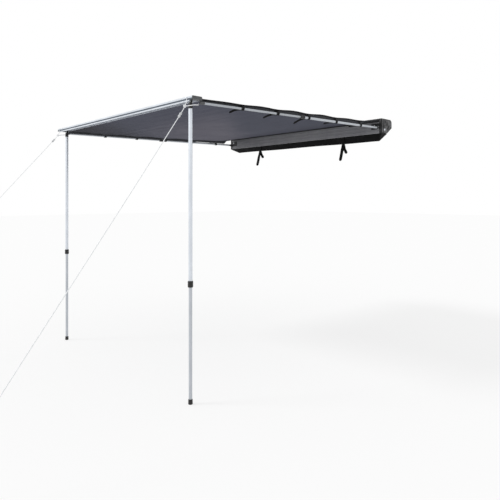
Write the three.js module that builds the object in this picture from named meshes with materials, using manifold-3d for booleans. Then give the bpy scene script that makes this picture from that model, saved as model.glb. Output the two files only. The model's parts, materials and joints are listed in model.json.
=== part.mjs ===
import * as THREE from 'three';
import { mergeVertices } from 'three/addons/utils/BufferGeometryUtils.js';
import Module from 'manifold-3d';

// Side awning that pulls out from a back board on a roof rack.
// Millimetres. X runs along the board, Y from the front rail towards the board, Z up.
// The origin is on the flat back of the board, at the middle of its length.

const wasm = await Module();
wasm.setup();

// General clearances and the overrun of every cut
const seatGap = 0.3;
const slideGap = 0.4;
const turnGap = 0.5;
const cutOverrun = 5;

// Main sizes. The other places along X and Y follow from them
const rackHeight = 2150;
const railReach = 2363;
const railHalfLength = 1141;
const caseOverhang = 14;
const caseHalfLength = railHalfLength + caseOverhang;
const armInset = 14;
const armX = railHalfLength - armInset;

// Back board: a hollow extrusion with ribs on its front and slots in its back
const boardDepth = 24;
const boardBottom = -60;
const boardTop = 82;
const boardWall = 3;
const ribHeight = 3;
const ribWidth = 9;
const ribLow = -42;
const ribSpacing = 34;
const ribCount = 3;
const slotLowZ = -30;
const slotHighZ = 50;
const slotMouth = 8;
const slotInside = 15;
const slotDepth = 8;
const slotLip = 2.5;
const hemChannelRadius = 4.5;
const hemChannelMouth = 4;
const boardHemZ = 70;

// End caps of the case
const capWidth = 29;
const capWall = 3;
const caseBack = 165;
const caseCorner = 34;
const chamferTop = 2;
const chamferEndY = 76;
const capRise = 4;
const capBoltY = 28;
const capBoltZ = -24;
const capBossRadius = 8;
const capBoltRadius = 3;
const capBoltHead = 6.5;
const capBoltHeadHeight = 4;
const capBoltLength = 24;
const capBeadWidth = 4;
const capBeadHeight = 1.6;

// Soft cover over the back of the case, and the flap that hangs below the board
const coverThickness = 3;
const coverHemZ = 4;
const flapThickness = 3;
const flapLeftInset = 175;
const flapLeftX = -(caseHalfLength - flapLeftInset);
const flapLeftZ = -120;
const flapRightInset = 39;
const flapRightX = caseHalfLength - flapRightInset;
const flapRightZ = -142;
const webbingWidth = 26;
const webbingThickness = 2.5;
const leftStrap = { inset: 573, z: -140, longX: -56, longZ: -163, shortX: 45, shortZ: -74 };
const rightStrap = { inset: 467, z: -160, longX: -41, longZ: -155, shortX: 37, shortZ: -82 };

// Steel angle brackets that stand on the rack's bars
const bracketInset = 505;
const bracketX = caseHalfLength - bracketInset;
const bracketWidth = 60;
const bracketPlate = 5;
const bracketTop = -4;
const bracketFoot = 96;
const bracketBend = 7;
const footSlotWidth = 9;
const footSlotLength = 36;
const footSlotY = 62;
const studHead = 10;
const studHeadHeight = 6;

// Swing arms, hinged in front of the case ends
const pivotY = -45;
const pivotZ = -10;
const armAtRailZ = -55;
const armTubeRadius = 10.5;
const armTubeWall = 1.3;
const armInnerWall = 1.2;
const armNeck = 26;
const armShoulder = 8;
const armPlug = 26;
const rightArmJoinShare = 0.4909;
const leftArmJoinShare = 0.4613;
const rightArmJoin = rightArmJoinShare * railReach;
const leftArmJoin = leftArmJoinShare * railReach;
const armCollarRadius = 15.5;
const armCollarLength = 52;
const armOverlap = 100;
const armEndInset = 120;
const armTipLength = 38;
const armEnd = railReach - armEndInset;
const armTipAt = armEnd - armTipLength;
const armEyeRadius = 11;
const armEyeHeight = 13.4;
const armPinRadius = 4;
const armPinHead = 7;
const armPinHeadHeight = 3;
const earThickness = 3.5;
const earRadius = 12;
const earGap = 0.8;
const armPlateReach = 92;
const armPlateInnerX = armX - armPlateReach;
const armPlateTop = 36;
const armPlateThickness = 4;
const armKnobInset = 50;
const armKnobX = armX - armKnobInset;
const armKnobZ = 16;
const armKnobRadius = 12;
const armKnobHeight = 8;
const tipStudRadius = 5;
const tipStudBack = 6;

// Front rail: a channel, open below, that the legs fold into
const railBottom = -50;
const railTop = -13;
const railWall = 2.5;
const railRoof = 3;
const railRearBottom = -38;
const railInnerDepth = 78;
const railRearInner = -(railReach - railInnerDepth);
const railGrooveDepth = 1.5;
const railGrooveLow = -37;
const railGrooveHigh = -29;
const railChamfer = 3;
const railHemZ = -26;
const railHemDepth = 6;
const railHemHalf = 6;
const railCapThickness = 4;
const railCapPlug = 34;
const railCapFloor = 3;
const railNotch = 38;

// Legs: each folds about a pin at its top and telescopes at a twist collar
const legPivotZ = -38;
const rightLegInset = 54;
const leftLegInset = 85;
const rightLegLane = 24;
const leftLegLane = 58;
const rightLegX = railHalfLength - rightLegInset;
const leftLegX = -(railHalfLength - leftLegInset);
const rightLegY = -(railReach - rightLegLane);
const leftLegY = -(railReach - leftLegLane);
const legTubeRadius = 14;
const legTubeWall = 1.1;
const legInnerWall = 1.3;
const legCollarRadius = 19;
const legCollarLength = 45;
const rightCollarZ = -1315;
const leftCollarZ = -1258;
const rightInnerTop = -895;
const leftInnerTop = -940;
const tongueHalfWidth = 9;
const tongueHalfThickness = 6;
const knuckleTop = -64;
const knuckleLength = 31;
const knuckleRadius = 15;
const knucklePlug = 28;
const footRadius = 16;
const footHeight = 36;
const footFloor = 11;
const clevisHalfWidth = 13;
const clevisPlate = 2.7;
const clevisDrop = 14;
const legPinRadius = 4;
const legPinHead = 6.5;
const legPinHeadHeight = 2;

// Twist collars carry shallow grip ribs
const gripCount = 10;
const gripDepth = 0.9;

// Canopy and the straps that tie its side hems to the arms
const canopyThickness = 2;
const canopyFrontInset = 7;
const canopyBackInset = 33;
const canopyFrontHalf = railHalfLength - canopyFrontInset;
const canopyBackHalf = caseHalfLength - canopyBackInset;
const canopyDroop = 36;
const canopySag = 18;
const canopyFold = 5;
const canopyScallop = 4;
const clothAcross = 26;
const clothDeep = 22;
const hemGap = 0.4;
const strapCount = 5;
const rightStrapFront = 474;
const rightStrapBack = 357;
const leftStrapFront = 513;
const leftStrapBack = 306;
const rightStrapY = -(railReach - rightStrapFront);
const rightStrapSpacing = (railReach - rightStrapFront - rightStrapBack) / (strapCount - 1);
const leftStrapY = -(railReach - leftStrapFront);
const leftStrapSpacing = (railReach - leftStrapFront - leftStrapBack) / (strapCount - 1);
const strapWidth = 25;
const strapThickness = 1.6;
const strapLoose = 1.1;
const tailLength = 90;
const tailDrop = 34;
const tailTopShare = -0.02;
const tailLowShare = -0.72;
const tailReachShares = [0.94, 1.1, 1.65, 1.5, 1];

// Guy ropes, their tensioners and ground pegs
const ropeRadius = 2.6;
const tensionerRadius = 9;
const tensionerLength = 34;
const tensionerBore = 3.4;
const tensionerWaist = 2.5;
const pegRadius = 4;
const pegDepth = 190;
const pegLean = 55;
const pegRise = 26;
const pegHook = 18;
const ropeEndShare = 0.8;
const ropeEyeInset = 57;
const ropeEyeX = railHalfLength - ropeEyeInset;
const ropeEyeRadius = 5;
const ropeEyeWire = 1.8;

// The rope's route, chosen by eye on the taut line to the peg. X and Y are from its eye and the rail's front
const rightRoute = [
  [0, -6, -33.2], [1, -9, -50], [3, -16, -68], [6, -27, -88], [10, -46, -116], [19, -102, -190],
  [32, -183, -295], [50, -292, -436], [72, -426, -609], [97, -583, -810], [125, -758, -1033],
  [154, -942, -1267], [184, -1128, -1503], [213, -1306, -1730], [238, -1463, -1930],
  [256, -1577, -2075], [266, -1627, -2139],
];
const leftRoute = [
  [0, -6, -33.2], [1, -9, -50], [4, -17, -70], [5, -29, -92], [1, -49, -118], [-14, -115, -199],
  [-32, -197, -300], [-58, -313, -441], [-87, -445, -603], [-120, -593, -785], [-157, -758, -987],
  [-194, -922, -1189], [-230, -1087, -1391], [-267, -1252, -1593], [-304, -1417, -1795],
  [-337, -1565, -1977], [-366, -1697, -2139],
];
const rightRope = fromEye(1, rightRoute);
const leftRope = fromEye(-1, leftRoute);
const ropeSteps = 40;
const rightTensionerShare = 0.052;
const leftTensionerShare = 0.046;

// Facets around round pieces
const roundSides = 20;
const smallSides = 12;
const ropeSides = 8;
const pegSteps = 14;
const wireSides = 6;
const cornerSteps = 5;

// Materials
const aluminium = metal(0xc6ccd2, 0.32, 0.85);
const darkAluminium = metal(0x56575b, 0.5, 0.6);
const steel = metal(0xa9adb2, 0.35, 0.9);
const blackPlastic = plain(0x161617, 0.55);
const greyPlastic = plain(0x4a4b4d, 0.6);
const blackSteel = metal(0x1c1c1e, 0.45, 0.6);
const canopyCloth = plain(0x53555d, 0.9);
const bagCloth = plain(0x1a1a1b, 0.75);
const webbing = plain(0x101011, 0.85);
const ropeCloth = plain(0xd9d8d3, 0.9);

function fromEye(side, offsets) {
  return offsets.map(([x, y, z]) => [side * ropeEyeX + x, y - railReach, z]);
}

function metal(color, roughness, metalness) {
  return new THREE.MeshStandardMaterial({ color, roughness, metalness });
}

function plain(color, roughness) {
  return metal(color, roughness, 0);
}

// Solids and how they are joined and cut

function solid(geometry) {
  const bare = geometry.clone();
  bare.deleteAttribute('normal');
  bare.deleteAttribute('uv');
  const merged = mergeVertices(bare);
  return new wasm.Manifold(new wasm.Mesh({
    numProp: 3,
    vertProperties: new Float32Array(merged.attributes.position.array),
    triVerts: new Uint32Array(merged.index.array),
  }));
}

function surface(body) {
  const { vertProperties, triVerts } = body.getMesh();
  const geometry = new THREE.BufferGeometry();
  geometry.setAttribute('position', new THREE.BufferAttribute(new Float32Array(vertProperties), 3));
  geometry.setIndex(new THREE.BufferAttribute(new Uint32Array(triVerts), 1));
  geometry.computeVertexNormals();
  return geometry;
}

function piece(name, body, material) {
  const mesh = new THREE.Mesh(surface(body), material);
  mesh.name = name;
  return mesh;
}

function box(x0, x1, y0, y1, z0, z1) {
  const geometry = new THREE.BoxGeometry(x1 - x0, y1 - y0, z1 - z0);
  geometry.translate((x0 + x1) / 2, (y0 + y1) / 2, (z0 + z1) / 2);
  return solid(geometry);
}

// A closed [y, z] outline carried along X from x0 to x1
function alongX(outline, x0, x1) {
  const shape = new THREE.Shape(outline.map(([y, z]) => new THREE.Vector2(y, z)));
  const geometry = new THREE.ExtrudeGeometry(shape, { depth: x1 - x0, bevelEnabled: false });
  const turn = new THREE.Matrix4().makeBasis(
    new THREE.Vector3(0, 1, 0),
    new THREE.Vector3(0, 0, 1),
    new THREE.Vector3(1, 0, 0),
  );
  geometry.applyMatrix4(turn);
  geometry.translate(x0, 0, 0);
  return solid(geometry);
}

// A closed [x, y] outline carried up from z0 to z1
function alongZ(outline, z0, z1) {
  const shape = new THREE.Shape(outline.map(([x, y]) => new THREE.Vector2(x, y)));
  const geometry = new THREE.ExtrudeGeometry(shape, { depth: z1 - z0, bevelEnabled: false });
  geometry.translate(0, 0, z0);
  return solid(geometry);
}

// A closed [radius, z] profile, or one that starts and ends on the axis, turned about Z
function turned(profile, sides) {
  const points = profile.map(([r, z]) => new THREE.Vector2(r, z));
  const geometry = new THREE.LatheGeometry(points, sides);
  geometry.rotateX(Math.PI / 2);
  return solid(geometry);
}

function rod(radius, z0, z1, sides) {
  return turned([[0, z0], [radius, z0], [radius, z1], [0, z1]], sides);
}

function pipe(outer, inner, z0, z1, sides) {
  return turned([[outer, z0], [outer, z1], [inner, z1], [inner, z0], [outer, z0]], sides);
}

// The same solid turned so that its Z axis points along Y, or along X
function ontoY(body) {
  return body.rotate([-90, 0, 0]);
}

function ontoX(body) {
  return body.rotate([0, 90, 0]);
}

function arc(centreY, centreZ, radius, from, to, steps) {
  const points = [];
  for (let i = 0; i <= steps; i += 1) {
    const angle = from + ((to - from) * i) / steps;
    points.push([centreY + radius * Math.cos(angle), centreZ + radius * Math.sin(angle)]);
  }
  return points;
}

// A flat plate with the given corners in space and a thickness along its normal
function plate(corners, thickness) {
  const points = corners.map((corner) => new THREE.Vector3(...corner));
  const across = points[1].clone().sub(points[0]);
  const along = points[2].clone().sub(points[0]);
  const normal = across.cross(along).normalize();
  const frame = new THREE.Matrix4().lookAt(normal, new THREE.Vector3(), points[1].clone().sub(points[0]));
  frame.setPosition(points[0]);
  const flat = frame.clone().invert();
  const outline = points.map((point) => point.clone().applyMatrix4(flat));
  const shape = new THREE.Shape(outline.map((point) => new THREE.Vector2(point.x, point.y)));
  const geometry = new THREE.ExtrudeGeometry(shape, { depth: thickness, bevelEnabled: false });
  geometry.translate(0, 0, -thickness / 2);
  geometry.applyMatrix4(frame);
  return solid(geometry);
}

// A round bar of the given radius along a smooth curve through the points
function bar(points, radius, sides, steps) {
  const curve = new THREE.CatmullRomCurve3(points.map((point) => new THREE.Vector3(...point)));
  const section = new THREE.Shape(arc(0, 0, radius, 0, 2 * Math.PI, sides)
    .slice(1).map(([x, y]) => new THREE.Vector2(x, y)));
  return new THREE.ExtrudeGeometry(section, { steps, extrudePath: curve, bevelEnabled: false });
}

// Back board

function boardOutline() {
  const face = -boardDepth + ribHeight;
  const front = [[face, boardBottom]];
  for (let i = 0; i < ribCount; i += 1) {
    const low = ribLow + i * ribSpacing;
    const slope = ribHeight / 2;
    front.push([face, low], [-boardDepth, low + slope]);
    front.push([-boardDepth, low + ribWidth - slope], [face, low + ribWidth]);
  }
  front.push([face, boardHemZ - 2 * hemChannelRadius], [-boardDepth, boardHemZ - 2 * hemChannelRadius]);
  front.push([-boardDepth, boardTop], [0, boardTop], [0, boardBottom]);
  return front;
}

function slot(z) {
  const inside = slotInside / 2;
  const mouth = slotMouth / 2;
  return alongX([
    [cutOverrun, z - mouth], [cutOverrun, z + mouth], [-slotLip, z + mouth], [-slotLip, z + inside],
    [-slotDepth, z + inside], [-slotDepth, z - inside], [-slotLip, z - inside], [-slotLip, z - mouth],
  ], -caseHalfLength, caseHalfLength);
}

// The round channel that holds a hem's bead, with its mouth towards side (+1 or -1 along Y)
function hemChannel(y, z, side) {
  const mouthEnd = y + side * (hemChannelRadius + cutOverrun);
  const length = rod(hemChannelRadius, -caseHalfLength, caseHalfLength, smallSides);
  const round = ontoX(length).translate([0, y, z]);
  const mouth = box(
    -caseHalfLength, caseHalfLength,
    Math.min(y, mouthEnd), Math.max(y, mouthEnd),
    z - hemChannelMouth / 2, z + hemChannelMouth / 2,
  );
  return round.add(mouth);
}

function backBoard() {
  const half = caseHalfLength - capWidth;
  const front = -boardDepth + ribHeight + boardWall;
  const lowChamberTop = slotLowZ - slotInside / 2 - boardWall;
  const middleBottom = slotLowZ + slotInside / 2 + boardWall;
  const middleTop = slotHighZ - slotInside / 2 - boardWall;
  let board = alongX(boardOutline(), -half, half);
  board = board.subtract(slot(slotLowZ)).subtract(slot(slotHighZ));
  board = board.subtract(hemChannel(-boardDepth + hemChannelRadius + boardWall, boardHemZ, -1));
  for (const [low, high] of [[boardBottom + boardWall, lowChamberTop], [middleBottom, middleTop]]) {
    board = board.subtract(box(-caseHalfLength, caseHalfLength, front, -boardWall, low, high));
  }
  return piece('back_board', board, darkAluminium);
}

// End caps of the case: open shells with a five-sided outline and a round upper back corner

function capOutline(inset) {
  const top = boardTop + capRise - inset;
  const back = caseBack - inset;
  const radius = caseCorner - inset;
  const slope = (caseBack - chamferEndY) / (chamferTop - boardBottom);
  const lean = inset * (Math.sqrt(1 + slope * slope) - slope);
  return [
    [-boardDepth + inset, boardBottom + inset],
    [-boardDepth + inset, top],
    ...arc(caseBack - caseCorner, boardTop + capRise - caseCorner, radius, Math.PI / 2, 0, 6),
    [back, chamferTop + lean / slope],
    [chamferEndY + lean / slope + slope * inset - inset * Math.sqrt(1 + slope * slope), boardBottom + inset],
  ];
}

function caseCap(side) {
  const inner = caseHalfLength - capWidth + seatGap;
  const outer = caseHalfLength;
  let cap = alongX(capOutline(0), inner, outer);
  cap = cap.subtract(alongX(capOutline(capWall), inner - cutOverrun, outer - capWall));
  const bead = alongX(capOutline(-capBeadHeight), inner, inner + capBeadWidth);
  cap = cap.add(bead.subtract(alongX(capOutline(capWall), inner - cutOverrun, inner + 2 * capBeadWidth)));
  cap = cap.subtract(box(inner - cutOverrun, outer, -boardDepth - cutOverrun, -boardDepth,
    boardBottom - cutOverrun, boardTop + 2 * capRise));
  const boss = rod(capBossRadius, inner + capWall, outer - capWall / 2, smallSides);
  cap = cap.add(ontoX(boss).translate([0, capBoltY, capBoltZ]));
  const hole = rod(capBoltRadius + slideGap, inner, outer + cutOverrun, smallSides);
  cap = cap.subtract(ontoX(hole).translate([0, capBoltY, capBoltZ]));
  return sided(cap, side);
}

function capBolt(side) {
  const head = rod(capBoltHead, caseHalfLength + seatGap, caseHalfLength + seatGap + capBoltHeadHeight, 6);
  const shank = rod(capBoltRadius, caseHalfLength - capBoltLength, caseHalfLength + 1.5 * seatGap,
    smallSides);
  return sided(ontoX(head.add(shank)).translate([0, capBoltY, capBoltZ]), side);
}

// A solid made for the right-hand side, or its mirror image for the left
function sided(body, side) {
  return side > 0 ? body : body.mirror([1, 0, 0]);
}

// Soft cover: it lies over the board's top and hangs down the back of the case

function caseCover() {
  const half = caseHalfLength - capWidth - seatGap;
  const low = boardTop + seatGap;
  const inner = arc(caseBack - caseCorner, low - caseCorner + coverThickness, caseCorner - coverThickness,
    0, Math.PI / 2, 6);
  const outer = arc(caseBack - caseCorner, low - caseCorner + coverThickness, caseCorner,
    Math.PI / 2, 0, 6);
  return piece('case_cover', alongX([
    [caseBack - coverThickness, coverHemZ],
    ...inner,
    [-boardDepth, low],
    [-boardDepth, low + coverThickness],
    ...outer,
    [caseBack, coverHemZ],
  ], -half, half), bagCloth);
}

// Flap below the board, with a slanting end piece at each side up to the end cap

function bagFlap() {
  const top = boardBottom - capBeadHeight - seatGap;
  const front = -boardDepth;
  const middle = front + flapThickness / 2;
  const reach = chamferEndY;
  const corner = caseHalfLength - flapThickness;
  const shape = new THREE.Shape([
    new THREE.Vector2(-corner, top),
    new THREE.Vector2(corner, top),
    new THREE.Vector2(flapRightX, flapRightZ),
    new THREE.Vector2(flapLeftX, flapLeftZ),
  ]);
  const geometry = new THREE.ExtrudeGeometry(shape, { depth: flapThickness, bevelEnabled: false });
  geometry.rotateX(Math.PI / 2);
  geometry.translate(0, front + flapThickness, 0);
  let flap = solid(geometry);
  for (const [x, bottomX, bottomZ] of [[corner, flapRightX, flapRightZ], [-corner, flapLeftX, flapLeftZ]]) {
    flap = flap.add(plate([[x, middle, top], [bottomX, middle, bottomZ], [x, reach, top]], flapThickness));
  }
  flap = flap.subtract(box(-caseHalfLength, caseHalfLength, 2 * front, caseBack, top, boardTop));
  return piece('bag_flap', flap, bagCloth);
}

// A straight length of webbing in a plane of constant Y, from one point to the other
function webbingRun(x0, z0, x1, z1, y) {
  const length = Math.hypot(x1 - x0, z1 - z0);
  const angle = (Math.atan2(z1 - z0, x1 - x0) * 180) / Math.PI;
  const run = box(0, length, y - webbingThickness, y, -webbingWidth / 2, webbingWidth / 2);
  return run.rotate([0, -angle, 0]).translate([x0, 0, z0]);
}

function bagStrap(name, strap, side) {
  const x = side * (caseHalfLength - strap.inset);
  const y = -boardDepth - seatGap;
  const low = strap.z + webbingWidth / 2;
  let body = webbingRun(x, boardBottom - capRise, x, strap.z, y);
  body = body.add(webbingRun(x, low, x + strap.longX, strap.z + strap.longZ, y));
  body = body.add(webbingRun(x, low, x + strap.shortX, strap.z + strap.shortZ, y));
  return piece(name, body, webbing);
}

// Angle bracket behind the board, with a slotted foot for the rack's bar

function mountBracket(name, x) {
  const back = seatGap;
  const bottom = boardBottom;
  const bend = arc(back + bracketPlate + bracketBend, bottom + bracketPlate + bracketBend, bracketBend,
    Math.PI, 1.5 * Math.PI, 4);
  const profile = [
    [back, bracketTop], [back, bottom], [bracketFoot, bottom], [bracketFoot, bottom + bracketPlate],
    ...bend.reverse(), [back + bracketPlate, bracketTop],
  ];
  let bracket = alongX(profile, x - bracketWidth / 2, x + bracketWidth / 2);
  const slotHalf = (footSlotLength - footSlotWidth) / 2;
  const end = rod(footSlotWidth / 2, bottom - cutOverrun, bottom + bracketPlate + cutOverrun, smallSides);
  let cut = end.translate([x, footSlotY - slotHalf, 0]).add(end.translate([x, footSlotY + slotHalf, 0]));
  cut = cut.add(box(x - footSlotWidth / 2, x + footSlotWidth / 2, footSlotY - slotHalf, footSlotY + slotHalf,
    bottom - cutOverrun, bottom + bracketPlate + cutOverrun));
  bracket = bracket.subtract(cut);
  const head = ontoY(rod(studHead, 0, bracketPlate + studHeadHeight, 6));
  bracket = bracket.add(head.translate([x, back, slotLowZ]));
  return piece(name, bracket, blackSteel);
}

// Swing arms. Each is modelled from its pivot, running along -Y, and leaned down towards the rail

const armLean = Math.atan2(pivotZ - armAtRailZ, railReach + pivotY);

function along(body) {
  return body.rotate([90, 0, 0]);
}

function armBracket(side) {
  const back = -boardDepth - seatGap;
  const front = back - armPlateThickness;
  const reach = armEyeHeight / 2 + earGap;
  const bottom = pivotZ - reach - earThickness;
  const outer = armX + earRadius;
  let bracket = box(armPlateInnerX, outer, front, back, bottom, armPlateTop);
  const ear = [
    [armX - earRadius, back], [armX - earRadius, pivotY],
    ...arc(armX, pivotY, earRadius, Math.PI, 2 * Math.PI, 8),
    [outer, back],
  ];
  bracket = bracket.add(alongZ(ear, bottom, pivotZ - reach));
  bracket = bracket.add(alongZ(ear, pivotZ + reach, pivotZ + reach + earThickness));
  const hole = rod(armPinRadius + slideGap, bottom - cutOverrun, armPlateTop, smallSides);
  bracket = bracket.subtract(hole.translate([armX, pivotY, 0]));
  const root = -armPlateThickness / 2;
  const knob = turned([
    [0, root], [armKnobRadius, root], [armKnobRadius, armKnobHeight / 2], [armKnobRadius / 2, armKnobHeight],
    [0, armKnobHeight],
  ], roundSides);
  const seated = along(knob).translate([armKnobX, front, armKnobZ]);
  return sided(bracket.add(seated), side);
}

function armPin(side) {
  const reach = armEyeHeight / 2 + earGap + earThickness + seatGap;
  const low = pivotZ - reach;
  const high = pivotZ + reach;
  let pin = rod(armPinRadius, low - armPinHeadHeight, high + armPinHeadHeight, smallSides);
  pin = pin.add(rod(armPinHead, low - armPinHeadHeight, low, smallSides));
  pin = pin.add(rod(armPinHead, high, high + armPinHeadHeight, smallSides));
  return sided(pin.translate([armX, pivotY, 0]), side);
}

function armKnuckle() {
  const eye = rod(armEyeRadius, -armEyeHeight / 2, armEyeHeight / 2, roundSides);
  const half = armEyeRadius - armTubeWall * 2;
  const neck = box(-half, half, -armNeck, 0, -armEyeHeight / 2, armEyeHeight / 2);
  const shoulder = along(rod(armTubeRadius, armNeck - armShoulder / 2, armNeck + armShoulder, roundSides));
  const plug = along(rod(armTubeRadius - armTubeWall - slideGap, armNeck, armNeck + armShoulder + armPlug,
    roundSides));
  const hole = rod(armPinRadius + slideGap, -armEyeHeight, armEyeHeight, smallSides);
  return eye.add(neck).subtract(hole).add(shoulder).add(plug);
}

function armOuter(joinAt) {
  const start = armNeck + armShoulder + seatGap;
  return along(pipe(armTubeRadius, armTubeRadius - armTubeWall, start, joinAt + armShoulder, roundSides));
}

// A twist collar about Z: a wide bore for the outer tube, a narrow one for the inner, and grip ribs
function twistCollar(radius, wideBore, narrowBore, low, step, high, chamfer) {
  let collar = turned([
    [wideBore, low], [radius - chamfer, low], [radius, low + chamfer], [radius, high - chamfer],
    [radius - chamfer, high], [narrowBore, high], [narrowBore, step], [wideBore, step], [wideBore, low],
  ], roundSides);
  for (let i = 0; i < gripCount; i += 1) {
    const angle = (360 * (i + 0.5)) / gripCount;
    const groove = box(radius - gripDepth, radius + cutOverrun, -gripDepth, gripDepth,
      low + 2 * chamfer, high - 2 * chamfer);
    collar = collar.subtract(groove.rotate([0, 0, angle]));
  }
  return collar;
}

const armInnerRadius = armTubeRadius - armTubeWall - slideGap;
const legInnerRadius = legTubeRadius - legTubeWall - slideGap;
const collarChamfer = 3;

function armCollar(joinAt) {
  const low = joinAt - armCollarLength / 2;
  const step = joinAt + armShoulder + seatGap;
  return along(twistCollar(armCollarRadius, armTubeRadius + turnGap, armInnerRadius + turnGap, low, step,
    low + armCollarLength, collarChamfer));
}

function armInner(joinAt) {
  const start = joinAt - armOverlap;
  return along(pipe(armInnerRadius, armInnerRadius - armInnerWall, start, armTipAt, roundSides));
}

// The end of the arm lies under the front rail, with a stud on which the rail's end cap rests
function armTip() {
  const start = armTipAt + seatGap;
  const body = along(turned([
    [0, start], [armTubeRadius, start], [armTubeRadius, armEnd - collarChamfer],
    [armTubeRadius - collarChamfer, armEnd], [0, armEnd],
  ], roundSides));
  const plug = along(rod(armInnerRadius - armInnerWall - slideGap, armTipAt - armPlug, start + armShoulder,
    roundSides));
  const studAt = armEnd - tipStudBack;
  const rise = (railRearBottom - seatGap - pivotZ + studAt * Math.sin(armLean)) / Math.cos(armLean);
  const stud = rod(tipStudRadius, 0, rise, smallSides).translate([0, -studAt, 0]);
  return body.add(plug).add(stud);
}

function armGroup(side, word, joinAt) {
  const group = new THREE.Group();
  group.position.set(side * armX, pivotY, pivotZ);
  group.rotation.x = armLean;
  group.add(piece(`arm_knuckle_${word}`, armKnuckle(), blackPlastic));
  group.add(piece(`arm_outer_tube_${word}`, armOuter(joinAt), aluminium));
  group.add(piece(`arm_collar_${word}`, armCollar(joinAt), blackPlastic));
  group.add(piece(`arm_inner_tube_${word}`, armInner(joinAt), aluminium));
  group.add(piece(`arm_tip_${word}`, armTip(), blackPlastic));
  return group;
}

// Front rail

const railFront = -railReach;
const railRear = railRearInner + railWall;
const railHemBack = railRear + railHemDepth;
const railEnd = railHalfLength - railCapThickness - seatGap;

function railOutline() {
  const grooveBack = railFront + railGrooveDepth;
  const step = railGrooveDepth;
  return [
    [railFront, railBottom], [railFront, railGrooveLow], [grooveBack, railGrooveLow + step],
    [grooveBack, railGrooveHigh - step], [railFront, railGrooveHigh], [railFront, railTop - railChamfer],
    [railFront + railChamfer, railTop], [railRear, railTop], [railHemBack, railHemZ + railHemHalf],
    [railHemBack, railHemZ - railHemHalf], [railRear, railHemZ - railHemHalf], [railRear, railRearBottom],
    [railRearInner, railRearBottom], [railRearInner, railTop - railRoof],
    [railFront + railWall + railChamfer, railTop - railRoof],
    [railFront + railWall, railTop - railRoof - railChamfer],
    [railFront + railWall, railGrooveHigh + step], [grooveBack + railWall, railGrooveHigh],
    [grooveBack + railWall, railGrooveLow], [railFront + railWall, railGrooveLow - step],
    [railFront + railWall, railBottom],
  ];
}

function frontRail() {
  let rail = alongX(railOutline(), -railEnd, railEnd);
  const channel = railHemBack - boardWall;
  const bead = ontoX(rod(boardWall, -caseHalfLength, caseHalfLength, 12)).translate([0, channel, railHemZ]);
  rail = rail.subtract(bead);
  for (const side of [1, -1]) {
    const notch = box(railHalfLength - railNotch, caseHalfLength, railFront - cutOverrun,
      railFront + railWall + cutOverrun, railBottom - cutOverrun, railRearBottom);
    rail = rail.subtract(sided(notch, side)).add(sided(ropeEye(), side));
  }
  return piece('front_rail', rail, aluminium);
}

// End cap: a plate with a round-cornered outline, and a floor that rests on the arm's stud
function railCap(side) {
  const low = railRearBottom;
  const high = railTop;
  const corner = railChamfer + railWall;
  const outline = [
    [railFront, low], [railFront, high - corner],
    ...arc(railFront + corner, high - corner, corner, Math.PI, Math.PI / 2, 4),
    [railHemBack - corner, high], [railHemBack, railHemZ + railHemHalf], [railHemBack, low],
  ];
  let cap = alongX(outline, railHalfLength - railCapThickness, railHalfLength);
  const inside = railHalfLength - railCapPlug;
  const front = railFront + railWall + railGrooveDepth + seatGap;
  const back = railRearInner - seatGap;
  const outer = railHalfLength - railCapThickness / 2;
  cap = cap.add(box(inside, outer, front, back, low, low + railCapFloor));
  return sided(cap, side);
}

// Small wire eye on the rail's front face, where the guy rope starts
function ropeEye() {
  const ring = new THREE.TorusGeometry(ropeEyeRadius, ropeEyeWire, wireSides, smallSides);
  ring.rotateY(Math.PI / 2);
  ring.translate(ropeEyeX, railFront - ropeEyeRadius, railHemZ);
  return solid(ring);
}

// Clevis under the rail's roof, made at the pivot of its leg
function legClevis(x, y) {
  const roof = railTop - railRoof - seatGap - legPivotZ;
  const inner = tongueHalfThickness + turnGap;
  const outer = inner + clevisPlate;
  let clevis = alongX([
    [-outer, roof], [-outer, -clevisDrop], [-inner, -clevisDrop], [-inner, roof - clevisPlate],
    [inner, roof - clevisPlate], [inner, -clevisDrop], [outer, -clevisDrop], [outer, roof],
  ], -clevisHalfWidth, clevisHalfWidth);
  const hole = ontoY(rod(legPinRadius + slideGap, -2 * outer, 2 * outer, smallSides));
  clevis = clevis.subtract(hole);
  return clevis.translate([x, y, legPivotZ]);
}

function legPin(x, y) {
  const reach = tongueHalfThickness + turnGap + clevisPlate + seatGap;
  const end = reach + legPinHeadHeight;
  let pin = rod(legPinRadius, -end, end, smallSides);
  pin = pin.add(rod(legPinHead, reach, end, smallSides)).add(rod(legPinHead, -end, -reach, smallSides));
  return ontoY(pin).translate([x, y, legPivotZ]);
}

// Legs, modelled below their pivot

function legKnuckle() {
  const top = knuckleTop - legPivotZ;
  const bottom = top - knuckleLength;
  const eye = ontoY(rod(tongueHalfWidth, -tongueHalfThickness, tongueHalfThickness, roundSides));
  const tongue = box(-tongueHalfWidth, tongueHalfWidth, -tongueHalfThickness, tongueHalfThickness,
    top - collarChamfer, 0);
  const hole = ontoY(rod(legPinRadius + slideGap, -clevisDrop, clevisDrop, smallSides));
  const body = turned([
    [0, bottom], [knuckleRadius, bottom], [knuckleRadius, top - collarChamfer],
    [knuckleRadius - collarChamfer, top], [0, top],
  ], roundSides);
  const plug = rod(legTubeRadius - legTubeWall - slideGap, bottom - knucklePlug, bottom + collarChamfer,
    roundSides);
  return eye.add(tongue).subtract(hole).add(body).add(plug);
}

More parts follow.
